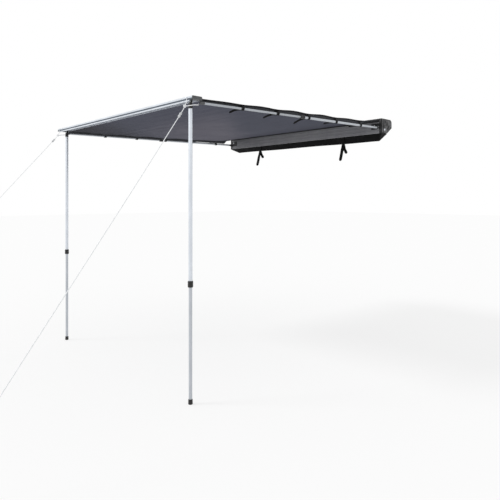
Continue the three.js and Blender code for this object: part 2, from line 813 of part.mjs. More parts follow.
function legGroup(word, x, y, collarZ, innerTop) {
  const group = new THREE.Group();
  group.position.set(x, y, legPivotZ);
  const collarMiddle = collarZ - legPivotZ;
  const footTop = footHeight - rackHeight - legPivotZ;
  const ground = -rackHeight - legPivotZ;
  const tubeTop = knuckleTop - knuckleLength - legPivotZ - seatGap;
  const tubeEnd = collarMiddle - armShoulder;
  const collarLow = collarMiddle - legCollarLength / 2;
  const outerTube = pipe(legTubeRadius, legTubeRadius - legTubeWall, tubeEnd, tubeTop, roundSides);
  const upsideDown = twistCollar(legCollarRadius, legTubeRadius + turnGap, legInnerRadius + turnGap,
    -collarLow - legCollarLength, -tubeEnd + seatGap, -collarLow, collarChamfer);
  const innerTube = pipe(legInnerRadius, legInnerRadius - legInnerWall, ground + footFloor + seatGap,
    innerTop - legPivotZ, roundSides);
  const foot = turned([
    [0, ground], [footRadius - collarChamfer, ground], [footRadius, ground + collarChamfer],
    [footRadius, footTop - collarChamfer], [footRadius - gripDepth, footTop],
    [legInnerRadius + slideGap, footTop], [legInnerRadius + slideGap, ground + footFloor],
    [0, ground + footFloor],
  ], roundSides);
  group.add(piece(`leg_knuckle_${word}`, legKnuckle(), blackPlastic));
  group.add(piece(`leg_outer_tube_${word}`, outerTube, aluminium));
  group.add(piece(`leg_collar_${word}`, upsideDown.rotate([180, 0, 0]), blackPlastic));
  group.add(piece(`leg_inner_tube_${word}`, innerTube, aluminium));
  group.add(piece(`leg_foot_${word}`, foot, blackPlastic));
  return group;
}

// Canopy: one sheet from the rail's hem channel to the board's, hanging a little between them

const canopyFrontY = railHemBack + seatGap;
const canopyBackY = -boardDepth - seatGap;

// Height of the cloth's underside. across is -1 to 1 over the width, t is 0 at the rail and 1 at the board
function canopyHeight(across, t) {
  const straight = railHemZ + (boardHemZ - railHemZ) * t;
  const droopShare = Math.pow(t, 0.7) * (1 - Math.pow(t, 14));
  const sagShare = (1 - across * across) * Math.sin(Math.PI * t);
  const waves = Math.sin(9 * t + 2.2 * across) + 0.5 * Math.sin(17 * t - 3 * across);
  const foldShare = Math.sin(Math.PI * t) * waves;
  const y = canopyFrontY + (canopyBackY - canopyFrontY) * t;
  const turn = (2 * Math.PI * (y - rightStrapY)) / rightStrapSpacing;
  const scallopShare = Math.pow(Math.abs(across), 6) * Math.sin(Math.PI * t) * Math.cos(turn);
  const inner = 1 - Math.pow(Math.abs(across), 4);
  return straight - canopyDroop * droopShare - canopySag * sagShare
    + canopyFold * foldShare * inner - canopyScallop * scallopShare - canopyThickness / 2;
}

function canopyHalf(t) {
  return canopyFrontHalf + (canopyBackHalf - canopyFrontHalf) * t;
}

// Height of the faceted underside at a place, from the corners of the facet over it
function undersideAt(x, y) {
  const t = (y - canopyFrontY) / (canopyBackY - canopyFrontY);
  const u = (x / canopyHalf(t) + 1) / 2;
  const i = Math.min(Math.floor(u * clothAcross), clothAcross - 1);
  const j = Math.min(Math.floor(t * clothDeep), clothDeep - 1);
  const corner = (di, dj) => canopyHeight((2 * (i + di)) / clothAcross - 1, (j + dj) / clothDeep);
  const fu = u * clothAcross - i;
  const ft = t * clothDeep - j;
  if (ft > fu) {
    return corner(0, 0) + ft * (corner(0, 1) - corner(0, 0)) + fu * (corner(1, 1) - corner(0, 1));
  }
  return corner(0, 0) + fu * (corner(1, 0) - corner(0, 0)) + ft * (corner(1, 1) - corner(1, 0));
}

function canopy() {
  const across = clothAcross;
  const deep = clothDeep;
  const positions = [];
  const faces = [];
  const row = across + 1;
  const layer = row * (deep + 1);
  for (const lift of [0, canopyThickness]) {
    for (let j = 0; j <= deep; j += 1) {
      const t = j / deep;
      for (let i = 0; i <= across; i += 1) {
        const u = (2 * i) / across - 1;
        const y = canopyFrontY + (canopyBackY - canopyFrontY) * t;
        positions.push(u * canopyHalf(t), y, canopyHeight(u, t) + lift);
      }
    }
  }
  const quad = (a, b, c, d) => faces.push(a, b, c, a, c, d);
  for (let j = 0; j < deep; j += 1) {
    for (let i = 0; i < across; i += 1) {
      const a = j * row + i;
      quad(a, a + row, a + row + 1, a + 1);
      quad(layer + a, layer + a + 1, layer + a + row + 1, layer + a + row);
    }
  }
  for (let i = 0; i < across; i += 1) {
    const end = deep * row + i;
    quad(i, i + 1, layer + i + 1, layer + i);
    quad(end + 1, end, layer + end, layer + end + 1);
  }
  for (let j = 0; j < deep; j += 1) {
    const left = j * row;
    const right = left + across;
    quad(left + row, left, layer + left, layer + left + row);
    quad(right, right + row, layer + right + row, layer + right);
  }
  const geometry = new THREE.BufferGeometry();
  geometry.setAttribute('position', new THREE.BufferAttribute(new Float32Array(positions), 3));
  geometry.setIndex(faces);
  return piece('canopy', solid(geometry), canopyCloth);
}

// Strap round the arm, with a tab up to the canopy's hem and a hanging tail

function edgeStrap(name, side, y, reachShare) {
  const armZ = pivotZ - (pivotY - y) * Math.tan(armLean);
  const inner = armTubeRadius + strapLoose;
  const outer = inner + strapThickness;
  const heights = [];
  for (const share of [-1, -0.5, 0, 0.5, 1]) {
    for (const edge of [-strapThickness, strapThickness]) {
      heights.push(undersideAt(side * armX + edge / 2, y + (share * strapWidth) / 2));
    }
  }
  const hem = Math.min(...heights) - hemGap;
  const low = inner + strapThickness / 2;
  const ring = along(pipe(outer, inner, -strapWidth / 2, strapWidth / 2, 20));
  const tab = box(-strapThickness / 2, strapThickness / 2, -strapWidth / 2, strapWidth / 2, low, hem - armZ);
  const lean = (Math.atan2(tailDrop, tailLength) * 180) / Math.PI;
  const tail = box(-strapThickness / 2, strapThickness / 2, -tailLength * reachShare, strapWidth / 2,
    strapWidth * tailLowShare, strapWidth * tailTopShare);
  const hung = tail.rotate([lean, 0, 0]).translate([inner + strapThickness / 2, 0, 0]);
  const body = ring.add(tab).add(hung).translate([armX, y, armZ]);
  return piece(name, sided(body, side), webbing);
}

// Guy rope, its sleeve-shaped tensioner and its ground peg

function guyRope(word, route) {
  const mesh = new THREE.Mesh(bar(route, ropeRadius, ropeSides, ropeSteps), ropeCloth);
  mesh.name = `guy_rope_${word}`;
  return mesh;
}

function tensioner(word, route, share) {
  const curve = new THREE.CatmullRomCurve3(route.map((point) => new THREE.Vector3(...point)));
  const half = tensionerLength / 2;
  const waist = tensionerRadius - tensionerWaist;
  const mesh = piece(`rope_tensioner_${word}`, turned([
    [tensionerBore, -half], [tensionerRadius, -half], [tensionerRadius, -half / 2], [waist, 0],
    [tensionerRadius, half / 2], [tensionerRadius, half], [tensionerBore, half], [tensionerBore, -half],
  ], smallSides), greyPlastic);
  mesh.position.copy(curve.getPointAt(share));
  mesh.quaternion.setFromUnitVectors(new THREE.Vector3(0, 0, 1), curve.getTangentAt(share));
  return mesh;
}

function groundPeg(word, route) {
  const [x, y] = route[route.length - 1];
  const ground = -rackHeight;
  const shaftY = y - ropeEndShare * ropeRadius - pegRadius - seatGap;
  const points = [
    [x, shaftY + pegLean, ground - pegDepth],
    [x, shaftY + pegLean / 2, ground - pegDepth / 2],
    [x, shaftY, ground],
    [x, shaftY, ground + pegRise],
    [x, shaftY - pegHook / 2, ground + pegRise + pegHook / 2],
    [x, shaftY - pegHook, ground + pegRise],
  ];
  const mesh = new THREE.Mesh(bar(points, pegRadius, ropeSides, pegSteps), steel);
  mesh.name = `ground_peg_${word}`;
  return mesh;
}

// Assembly

const sides = [
  { word: 'right', side: 1, join: rightArmJoin, strapY: rightStrapY, spacing: rightStrapSpacing },
  { word: 'left', side: -1, join: leftArmJoin, strapY: leftStrapY, spacing: leftStrapSpacing },
];
const awning = new THREE.Group();

awning.add(backBoard());
awning.add(caseCover());
awning.add(bagFlap());
awning.add(bagStrap('bag_strap_left', leftStrap, -1));
awning.add(bagStrap('bag_strap_right', rightStrap, 1));
awning.add(canopy());
awning.add(frontRail());

for (const { word, side, join, strapY, spacing } of sides) {
  awning.add(piece(`case_cap_${word}`, caseCap(side), greyPlastic));
  awning.add(piece(`cap_bolt_${word}`, capBolt(side), steel));
  awning.add(mountBracket(`mount_bracket_${word}`, side * bracketX));
  awning.add(piece(`arm_bracket_${word}`, armBracket(side), blackSteel));
  awning.add(piece(`arm_pivot_pin_${word}`, armPin(side), steel));
  awning.add(armGroup(side, word, join));
  awning.add(piece(`rail_cap_${word}`, railCap(side), greyPlastic));
  for (let i = 0; i < strapCount; i += 1) {
    const name = `edge_strap_${word}_${i + 1}`;
    awning.add(edgeStrap(name, side, strapY + i * spacing, tailReachShares[i]));
  }
}

awning.add(piece('leg_clevis_right', legClevis(rightLegX, rightLegY), steel));
awning.add(piece('leg_clevis_left', legClevis(leftLegX, leftLegY), steel));
awning.add(piece('leg_pivot_pin_right', legPin(rightLegX, rightLegY), steel));
awning.add(piece('leg_pivot_pin_left', legPin(leftLegX, leftLegY), steel));
awning.add(legGroup('right', rightLegX, rightLegY, rightCollarZ, rightInnerTop));
awning.add(legGroup('left', leftLegX, leftLegY, leftCollarZ, leftInnerTop));

awning.add(guyRope('right', rightRope));
awning.add(guyRope('left', leftRope));
awning.add(tensioner('right', rightRope, rightTensionerShare));
awning.add(tensioner('left', leftRope, leftTensionerShare));
awning.add(groundPeg('right', rightRope));
awning.add(groundPeg('left', leftRope));

export default awning;
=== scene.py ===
"""Looks of a pull-out side awning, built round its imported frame.

Metres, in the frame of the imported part: X runs along the board, Y from the front
rail towards the board, Z up, and the ground lies 2.15 below the board's origin.
"""

import json
import math

import bmesh
import bpy
import numpy as np
from bpy.props import FloatProperty, FloatVectorProperty, PointerProperty
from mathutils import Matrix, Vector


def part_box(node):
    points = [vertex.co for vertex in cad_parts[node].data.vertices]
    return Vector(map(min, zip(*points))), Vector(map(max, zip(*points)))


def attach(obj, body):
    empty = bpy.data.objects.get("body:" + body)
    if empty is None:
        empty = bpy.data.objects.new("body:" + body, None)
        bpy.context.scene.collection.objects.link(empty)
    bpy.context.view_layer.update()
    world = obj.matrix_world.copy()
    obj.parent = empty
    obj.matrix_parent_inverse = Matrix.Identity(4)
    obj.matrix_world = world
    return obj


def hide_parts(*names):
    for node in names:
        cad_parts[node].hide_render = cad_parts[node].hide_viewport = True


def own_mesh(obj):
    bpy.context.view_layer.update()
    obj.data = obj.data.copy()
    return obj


bl_info = {
    "name": "Side Awning",
    "version": (1, 0, 0),
    "blender": (4, 5, 0),
    "location": "3D View > Sidebar > Awning",
    "description": "Builds the visible pieces of a pull-out side awning",
    "category": "Add Mesh",
}

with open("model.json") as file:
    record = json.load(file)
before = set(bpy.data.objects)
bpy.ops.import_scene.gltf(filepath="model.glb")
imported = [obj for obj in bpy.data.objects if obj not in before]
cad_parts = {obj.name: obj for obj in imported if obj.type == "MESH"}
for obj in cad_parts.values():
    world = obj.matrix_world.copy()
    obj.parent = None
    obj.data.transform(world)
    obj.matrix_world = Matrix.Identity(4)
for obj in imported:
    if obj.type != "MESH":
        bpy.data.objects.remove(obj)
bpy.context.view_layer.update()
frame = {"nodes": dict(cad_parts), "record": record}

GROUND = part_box("leg_foot_right")[0].z
SIDES = {"right": 1, "left": -1}
ALONG_X = np.array([1.0, 0.0, 0.0])

# Board and case; the bolt's place on a cap is in Y and Z
CASE_HALF = 1.155
CAP_WIDTH = 0.029
CAP_CENTRE = (0.062, 0.02)
CAP_BOLT = (0.028, -0.024)

# Arms: pivot, lean down towards the rail, and distances from the pivot
ARM_X = 1.127
ARM_PIVOT_Y = -0.045
ARM_PIVOT_Z = -0.010
ARM_LEAN = math.atan2(0.045, 2.318)
ARM_TUBE = 0.0105
ARM_INNER = 0.0088
ARM_TIP = 2.205
ARM_END = 2.243
ARM_JOIN = {"right": 1.160, "left": 1.090}

# Rail: its front face, the height of the canopy's hem in it, and its wire eyes
RAIL_FRONT = -2.363
RAIL_HEM_Z = -0.026
EYE_X = 1.084

# Legs: place, collar height and top of the inner tube
LEG = {
    "right": (1.087, -2.339, -1.315, -0.895),
    "left": (-1.056, -2.305, -1.258, -0.940),
}
LEG_TUBE = 0.014
LEG_INNER = 0.0125

# Canopy: its ends and their half widths, and its height at the board
CANOPY_FRONT = -2.2762
CANOPY_BACK = -0.0243
CANOPY_LENGTH = CANOPY_BACK - CANOPY_FRONT
CANOPY_FRONT_HALF = 1.134
CANOPY_BACK_HALF = 1.122
BOARD_HEM_Z = 0.070

# The side hems hang down from this X, and their stored inset starts this far beyond the edge's
HEM_FALL_X = ARM_X - 0.0195
HEM_GAP = 0.004

# Edge straps: the first one's place and their spacing, and the length and fall of each tail
STRAP_ROWS = {"right": (-1.889, 0.383), "left": (-1.850, 0.386)}
TAIL_REACHES = ((0.125, 0.042), (0.152, 0.048), (0.183, 0.064), (0.165, 0.032), (0.175, 0.028))

# Guy ropes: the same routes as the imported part's
ROPE_ROUTES = {
    "right": (
        (1.084, -2.369, -0.0332), (1.085, -2.372, -0.050), (1.087, -2.379, -0.068),
        (1.090, -2.390, -0.088), (1.094, -2.409, -0.116), (1.103, -2.465, -0.190),
        (1.116, -2.546, -0.295), (1.134, -2.655, -0.436), (1.156, -2.789, -0.609),
        (1.181, -2.946, -0.810), (1.209, -3.121, -1.033), (1.238, -3.305, -1.267),
        (1.268, -3.491, -1.503), (1.297, -3.669, -1.730), (1.322, -3.826, -1.930),
        (1.340, -3.940, -2.075), (1.350, -3.990, -2.139),
    ),
    "left": (
        (-1.084, -2.369, -0.0332), (-1.083, -2.372, -0.050), (-1.080, -2.380, -0.070),
        (-1.079, -2.392, -0.092), (-1.083, -2.412, -0.118), (-1.098, -2.478, -0.199),
        (-1.116, -2.560, -0.300), (-1.142, -2.676, -0.441), (-1.171, -2.808, -0.603),
        (-1.204, -2.956, -0.785), (-1.241, -3.121, -0.987), (-1.278, -3.285, -1.189),
        (-1.314, -3.450, -1.391), (-1.351, -3.615, -1.593), (-1.388, -3.780, -1.795),
        (-1.421, -3.928, -1.977), (-1.450, -4.060, -2.139),
    ),
}
TENSIONER_SHARE = {"right": 0.052, "left": 0.046}

# Stage: half the floor's side, and the camera's place, heading and downward shift
FLOOR_HALF = 40.0
CAMERA_PLACE = (3.899, -4.409, -0.7213)
CAMERA_HEADING = math.radians(46.836)
CAMERA_SHIFT = -0.10266


# Shader maths


def maths(operation, turned=False):
    """A method that works a value, with another one or alone; turned puts the other one first."""

    def method(value, *others):
        inputs = (*others, value) if turned else (value, *others)
        return value.nodes.node("ShaderNodeMath", {"operation": operation}, dict(enumerate(inputs)))

    return method


class Value:
    """One output of a node, which Python expressions can work with."""

    __add__, __radd__ = maths("ADD"), maths("ADD", turned=True)
    __sub__, __rsub__ = maths("SUBTRACT"), maths("SUBTRACT", turned=True)
    __mul__, __rmul__ = maths("MULTIPLY"), maths("MULTIPLY", turned=True)
    __abs__, sine = maths("ABSOLUTE"), maths("SINE")
    most, least = maths("MAXIMUM"), maths("MINIMUM")

    def __init__(self, nodes, socket):
        self.nodes = nodes
        self.socket = socket

    def rise(self, low, high):
        """0 below low and 1 above high, with a smooth step between them."""
        inputs = {"Value": self, "From Min": low, "From Max": high}
        return self.nodes.node("ShaderNodeMapRange", {"interpolation_type": "SMOOTHSTEP"}, inputs)

    def band(self, low, high, soft):
        """1 between low and high, falling to 0 over the width soft on both sides."""
        return self.rise(low - soft, low) * (1 - self.rise(high, high + soft))

    def wave(self, pitch):
        """A sine that repeats each time that the value grows by the pitch."""
        return (self * (math.tau / pitch)).sine()


class Nodes:
    """A node tree that expressions add to."""

    def __init__(self, tree):
        self.tree = tree

    def node(self, kind, settings=None, inputs=None, output=0):
        """A node of that kind: its settings first, then the values or links of its sockets."""
        node = self.tree.nodes.new(kind)
        for key, value in (settings or {}).items():
            setattr(node, key, value)
        for key, value in (inputs or {}).items():
            self.put(node.inputs[key], value)
        return Value(self, node.outputs[output])

    def put(self, socket, value):
        """Links a value to the socket, or sets a number, a vector or a colour of three parts on it."""
        if isinstance(value, Value):
            self.tree.links.new(value.socket, socket)
        else:
            socket.default_value = (*value, 1.0) if socket.type == "RGBA" else value

    def seen(self):
        """1 for rays from the camera, also mirrored or bent ones, and 0 for the light on the pieces."""
        kinds = ("Is Camera Ray", "Is Glossy Ray", "Is Transmission Ray")
        return sum(self.node("ShaderNodeLightPath", output=kind) for kind in kinds).least(1.0)


class Finish(Nodes):
    """A material whose colour is laid on in layers, and whose roughness and relief are expressions."""

    def __init__(self, name, colour, **fixed):
        self.material = bpy.data.materials.new(name)
        self.material.use_nodes = True
        super().__init__(self.material.node_tree)
        self.shader = self.tree.nodes["Principled BSDF"]
        for socket, value in fixed.items():
            self.shader.inputs[socket.replace("_", " ")].default_value = value
        self.own = self.base = tuple(colour)
        self.place = self.node("ShaderNodeTexCoord", output=3)

    def parts(self):
        """X, Y and Z of the place on the piece, in metres."""
        split = self.node("ShaderNodeSeparateXYZ", None, {0: self.place})
        return [Value(self, output) for output in split.socket.node.outputs]

    def stored(self, name):
        """A number that the mesh keeps at each of its points."""
        return self.node("ShaderNodeAttribute", {"attribute_name": name}, output=2)

    def cloud(self, scale, detail=4.0, roughness=0.6):
        """Soft noise from 0 to 1 with features of about 1 / scale metres, the scale being one number or
        one for each axis."""
        vector = self.place
        if not isinstance(scale, float):
            vector = self.node("ShaderNodeVectorMath", {"operation": "MULTIPLY"}, {0: vector, 1: scale})
            scale = 1.0
        inputs = {"Vector": vector, "Scale": scale, "Detail": detail, "Roughness": roughness}
        return self.node("ShaderNodeTexNoise", None, inputs)

    def cells(self, scale):
        """Distance to the nearest of scattered points, about 1 / scale metres apart."""
        return self.node("ShaderNodeTexVoronoi", None, {"Vector": self.place, "Scale": scale})

    def mix(self, factor, first, second):
        """A colour that goes from first to second as factor goes from 0 to 1."""
        return self.node("ShaderNodeMix", {"data_type": "RGBA"}, {0: factor, 6: first, 7: second}, 2)

    def tones(self, factor, low, high):
        """The lowest layer: the finish's own colour times low where factor is 0, times high where 1."""
        self.base = self.mix(factor, scaled(self.own, low), scaled(self.own, high))

    def layers(self, *pairs):
        """Lays colours over the base, each as strongly as its factor: a colour, or a multiple of the
        finish's own one."""
        for factor, tone in pairs:
            colour = scaled(self.own, tone) if isinstance(tone, float) else tuple(tone)
            self.base = self.mix(factor, self.base, colour)

    def done(self, rough, height, distance, strength):
        """The material, with its colour, roughness, and a bump whose height of 1 stands for the distance,
        in metres."""
        inputs = {"Height": height, "Distance": distance, "Strength": strength}
        bump = self.node("ShaderNodeBump", None, inputs)
        for socket, value in (("Base Color", self.base), ("Roughness", rough), ("Normal", bump)):
            self.put(self.shader.inputs[socket], value)
        return self.material


def rgb(red, green, blue):
    """A colour given as it looks on screen, 0 to 255, in the units that sockets take."""
    parts = [value / 255 for value in (red, green, blue)]
    return tuple(p / 12.92 if p <= 0.04045 else ((p + 0.055) / 1.055) ** 2.4 for p in parts)


def scaled(colour, factor):
    """The colour with each of its parts times the factor."""
    return tuple(channel * factor for channel in colour)


# Finishes


def aluminium_finish(name, along, colour):
    """Satin drawn aluminium: fine draw lines along the tube's axis, 0 to 2, faint clouds and a few
    rubbed places."""
    finish = Finish(name, colour, Metallic=0.55)
    scale = [900.0, 900.0, 900.0]
    scale[along] = 6.0
    lines = finish.cloud(scale, 2.0)
    clouds = finish.cloud(9.0)
    rubs = finish.cloud(60.0, 5.0, 0.7).rise(0.62, 0.74)
    finish.tones(clouds.rise(0.35, 0.7) * 0.55 + lines.rise(0.3, 0.7) * 0.45, 0.9, 1.06)
    finish.layers((rubs * 0.35, 0.78))
    return finish.done(0.33 + clouds * 0.08 + lines * 0.05 + rubs * 0.08, lines, 0.00006, 0.6)


def rail_finish(name, colour):
    """Aluminium extrusion: draw lines along X, and painted shade in the front groove and inside."""
    finish = Finish(name, colour, Metallic=0.5)
    _, y, z = finish.parts()
    lines = finish.cloud((4.0, 700.0, 700.0), 2.0)
    clouds = finish.cloud(7.0)
    # Painted shade: the groove in the front face and the inside of the channel are darkened where shade
    # falls, and made a little rougher.
    groove = z.band(-0.0386, -0.0276, 0.0006) * (1 - y.rise(-2.3605, -2.3600))
    inside = y.band(-2.3602, -2.2853, 0.0003) * (1 - z.rise(-0.0162, -0.0158))
    inside = inside.most(1 - z.rise(-0.0499, -0.0494))
    finish.tones(clouds.rise(0.35, 0.7), 0.92, 1.05)
    finish.layers(
        (lines.rise(0.45, 0.75) * 0.25, 0.8),
        # Painted shade colours: the channel's inside, then the front groove.
        (inside * 0.95, rgb(56, 59, 64)), (groove * 0.9, rgb(64, 76, 88)),
    )
    return finish.done(0.34 + clouds * 0.08 + groove * 0.25 + inside * 0.15, lines, 0.00006, 0.6)


def coated_finish(name, colour):
    """Anodised extrusion: draw lines along X, fine grain and pale dust on the ribs. It is darker towards
    the left end, and nearly black along its top."""
    finish = Finish(name, colour, Metallic=0.6)
    # Painted shade and light: the dull colour is painted shade in the canopy's front left corner, and the
    # pale one is painted light in a strip across it.
    x, y, z = finish.parts()
    lines = finish.cloud((3.0, 600.0, 600.0), 2.0)
    grain = finish.cloud(1400.0, 2.0, 0.5)
    clouds = finish.cloud(5.0)
    worn = (1 - y.rise(-0.0238, -0.0228)) * finish.cloud(60.0).rise(0.4, 0.65)
    finish.tones(clouds.rise(0.3, 0.7), 0.9, 1.08)
    finish.layers(
        (lines.rise(0.4, 0.7) * 0.3, 0.82), (worn * 0.35, 1.6), ((1 - x.rise(-1.3, -0.1)) * 0.6, 0.45),
        (z.rise(0.0500, 0.0530) * 0.92, 0.08),
    )
    return finish.done(0.44 + grain * 0.1 + clouds * 0.06, grain * 0.6 + lines * 0.4, 0.00007, 0.7)


def moulded_finish(name, colour, shine=0.48):
    """Moulded plastic: spark-eroded grain, slightly greyer where hands rub it."""
    finish = Finish(name, colour)
    clouds = finish.cloud(22.0)
    scuffs = finish.cloud((260.0, 260.0, 90.0), 4.0, 0.7).rise(0.6, 0.74)
    finish.tones(clouds.rise(0.3, 0.7), 0.85, 1.15)
    finish.layers((scuffs * 0.4, [min(channel, 0.85) for channel in scaled(colour, 2.2)]))
    return finish.done(shine - 0.06 + clouds * 0.14 + scuffs * 0.1, finish.cells(1500.0), 0.00012, 0.5)


def steel_finish(name, colour):
    """Zinc-plated steel: spangled clouds, fine scratches and a duller edge here and there."""
    finish = Finish(name, colour, Metallic=0.85)
    clouds = finish.cloud(70.0, 5.0, 0.65)
    scratches = finish.cloud((1800.0, 120.0, 1800.0), 2.0)
    finish.tones(clouds.rise(0.3, 0.7), 0.8, 1.1)
    finish.layers((scratches.rise(0.6, 0.75) * 0.3, 0.6))
    return finish.done(0.32 + clouds * 0.14, scratches, 0.00003, 0.5)


def painted_finish(name, colour):
    """Black stove-enamelled steel with orange peel and bare specks."""
    finish = Finish(name, colour, Metallic=0.1)
    clouds = finish.cloud(30.0)
    chips = finish.cloud(420.0, 5.0, 0.7).rise(0.7, 0.76)
    finish.tones(clouds, 0.85, 1.2)
    finish.layers((chips * 0.6, rgb(96, 97, 99)))
    return finish.done(0.36 + clouds * 0.14 + chips * 0.1, finish.cloud(650.0, 2.0, 0.5), 0.00012, 0.5)


def canopy_finish(name, cloth):
    """Ripstop polyester: plain weave, a grid of thicker threads, and faint creases where the cloth was
    rolled. Across its diagonal, painted shade dulls the front left corner, a painted strip of light
    follows, then its own colour, and painted shade darkens it again at the board. Going in from a side
    edge come the edging, the tape and the hem, with a row of stitches in each, and the hanging hem has a
    paler band along it, a painted highlight."""
    finish = Finish(name, cloth.canopy_colour, Specular_IOR_Level=0.1)
    x, y, _ = finish.parts()
    inset = finish.stored("inset")
    weave = x.wave(cloth.weave_pitch) * y.wave(cloth.weave_pitch) * 0.5 + 0.5
    grid = x.wave(0.006).rise(0.93, 1.0).most(y.wave(0.006).rise(0.93, 1.0))
    clouds = finish.cloud(2.2, 5.0)
    slubs = finish.cloud((30.0, 900.0, 900.0), 2.0)
    rolled = finish.cloud((0.9, 26.0, 1.0), 3.0).rise(0.55, 0.75)
    diagonal = x * 0.74 + y * 0.677 + clouds * 0.3 - 0.15
    # Painted light: a paler strip across the cloth's diagonal.
    pale = diagonal.rise(-1.95, -1.05) * (1 - diagonal.rise(-0.85, -0.42)) * y.rise(-2.25, -1.35)
    edge = (1 - inset.rise(0.0085, 0.0095)).most(1 - abs(y - CANOPY_BACK).rise(0.030, 0.032))
    tape = inset.band(0.0095, 0.036, 0.001)
    hem = inset.band(0.037, 0.074, 0.0015)
    # Painted highlight: the band called cord is a paler stripe of tape colour along the hanging hem; no cord
    # is built.
    hanging = inset + canopy_half((y - CANOPY_FRONT) * (1 / CANOPY_LENGTH)) - (HEM_FALL_X - HEM_GAP)
    cord = hanging.band(-0.0225, -0.0035, 0.0015)
    seams = sum(inset.band(start, start + 0.0006, 0.0004) for start in (0.0108, 0.0345, 0.0715))
    stitches = seams * y.wave(0.0035).rise(-0.2, 0.2)
    finish.layers(
        # Painted light and shade: the pale strip, the dull front left corner, and on the next line the darker
        # cloth near the board.
        (pale, cloth.painted_light_colour), (1 - diagonal.rise(-2.2, -1.5), cloth.painted_shade_colour),
        (x.rise(-1.1, -0.6) * y.rise(-0.6, -0.05) * 0.6, 0.6), (clouds.rise(0.3, 0.7) * 0.35, 0.75),
        (rolled * 0.5, 0.5), (slubs.rise(0.45, 0.75) * 0.2 + grid * 0.12, 1.35),
        (hem * 0.5, cloth.tape_colour), (tape, cloth.tape_colour), (edge, cloth.hem_colour),
        (cord, cloth.tape_colour), (stitches * 0.6, rgb(120, 121, 124)),
    )
    height = weave * 0.5 + grid * 0.3 + slubs * 0.3 - stitches * 1.5
    return finish.done(0.76 + clouds * 0.12 - edge * 0.1, height, 0.00016, 0.5)


def coated_cloth_finish(name, colour, crease_scale, contrast=1.0):
    """Vinyl-coated bag cloth: embossed grain, crease lines painted paler as a highlight, road dust, and
    darker edging where the number that the mesh keeps as its rim goes from 0.86 to 0.96."""
    finish = Finish(name, colour, Specular_IOR_Level=0.14)
    creases, fine = (
        1 - abs(finish.cloud(crease_scale * times, 3.0) * 2 - 1).rise(0.0, width)
        for times, width in ((1.0, 0.09), (3.1, 0.08))
    )
    dust = finish.cloud(14.0, 5.0, 0.65)
    finish.tones(dust.rise(0.38, 0.66), 1 - 0.25 * contrast, 1 + 0.3 * contrast)
    # Painted highlight: the crease lines are painted paler.
    finish.layers((creases * 0.34 + fine * 0.2, 2.8), (finish.stored("rim").rise(0.86, 0.96) * 0.85, 0.12))
    height = finish.cells(900.0) * 0.35 + creases * 0.9 + fine * 0.4
    return finish.done(0.5 + dust * 0.18 - creases * 0.1, height, 0.0004, 0.6)


def webbing_finish(name, colour):
    """Polypropylene webbing: ribs across its length, a herringbone down it and paler worn edges."""
    finish = Finish(name, colour, Specular_IOR_Level=0.2)
    along, across = finish.stored("along"), abs(finish.stored("across"))
    ribs = along.wave(0.0022) * 0.5 + 0.5
    chevrons = (along * (math.tau / 0.0044) + across * 900.0).sine() * 0.5 + 0.5
    fuzz = finish.cloud(380.0, 4.0, 0.7)
    finish.tones(ribs * 0.5 + chevrons * 0.3, 0.7, 1.35)
    finish.layers((across.rise(0.010, 0.0125) * fuzz, 2.2))
    return finish.done(0.62 + fuzz * 0.2, ribs * 0.6 + chevrons * 0.4, 0.0004, 0.8)


def rope_finish(name, colour, fleck):
    """Braided cord: strands that cross in both directions, with one darker marker strand."""
    finish = Finish(name, colour, Specular_IOR_Level=0.3)
    lay = finish.stored("along") * (math.tau / 0.012)
    turn = finish.stored("around") * math.tau
    height = (turn * 4 + lay).sine().most((turn * 4 - lay).sine()) * 0.5 + 0.5
    marker = (turn + lay * 0.25).sine().rise(0.9, 0.97)
    dirt = finish.cloud(11.0)
    finish.tones(height, 0.9, 1.04)
    finish.layers((marker * 0.35, fleck), (dirt.rise(0.5, 0.8) * 0.2, 0.6))
    return finish.done(0.7 + dirt * 0.15, height, 0.0006, 0.9)


def finish_named(name):
    """The finish with that name, made the first time that a piece asks for it."""
    found = bpy.data.materials.get(name)
    if found:
        return found
    scene = bpy.context.scene
    metal, cloth = scene.awning_metal, scene.awning_cloth
    silver = metal.aluminium_colour
    maker, *settings = {
        "tube_aluminium": (aluminium_finish, 2, scaled(silver, 1.12)),
        "inner_aluminium": (aluminium_finish, 2, scaled(silver, 0.82)),
        "arm_aluminium": (aluminium_finish, 1, scaled(silver, 0.80)),
        "arm_inner_aluminium": (aluminium_finish, 1, scaled(silver, 0.66)),
        "rail_aluminium": (rail_finish, scaled(silver, 1.06)),
        "board_coating": (coated_finish, metal.board_colour),
        "moulded_black": (moulded_finish, metal.plastic_colour),
        "moulded_grey": (moulded_finish, rgb(82, 83, 85), 0.55),
        "moulded_pale": (moulded_finish, rgb(196, 198, 200), 0.5),
        "zinc_steel": (steel_finish, rgb(205, 208, 212)),
        "enamelled_steel": (painted_finish, rgb(30, 30, 32)),
        "woven_canopy": (canopy_finish, cloth),
        "coated_bag": (coated_cloth_finish, cloth.bag_colour, 5.0),
        "cap_cloth": (coated_cloth_finish, cloth.cap_colour, 13.0, 2.6),
        "black_webbing": (webbing_finish, cloth.webbing_colour),
        "white_rope": (rope_finish, scene.awning_ropes.rope_colour, rgb(120, 124, 128)),
    }[name]
    return maker(name, *settings)


# Surfaces


def grid_faces(rows, columns, wrap_rows=False, wrap_columns=False):
    """Quads between the points of a grid that is numbered row by row; a wrapped way closes on itself."""
    i = np.arange(rows if wrap_rows else rows - 1)
    j = np.arange(columns if wrap_columns else columns - 1)
    a, b = np.meshgrid(i, j, indexing="ij")
    c, d = (a + 1) % rows, (b + 1) % columns
    corners = [a * columns + b, a * columns + d, c * columns + d, c * columns + b]
    return np.stack(corners, -1).reshape(-1, 4)


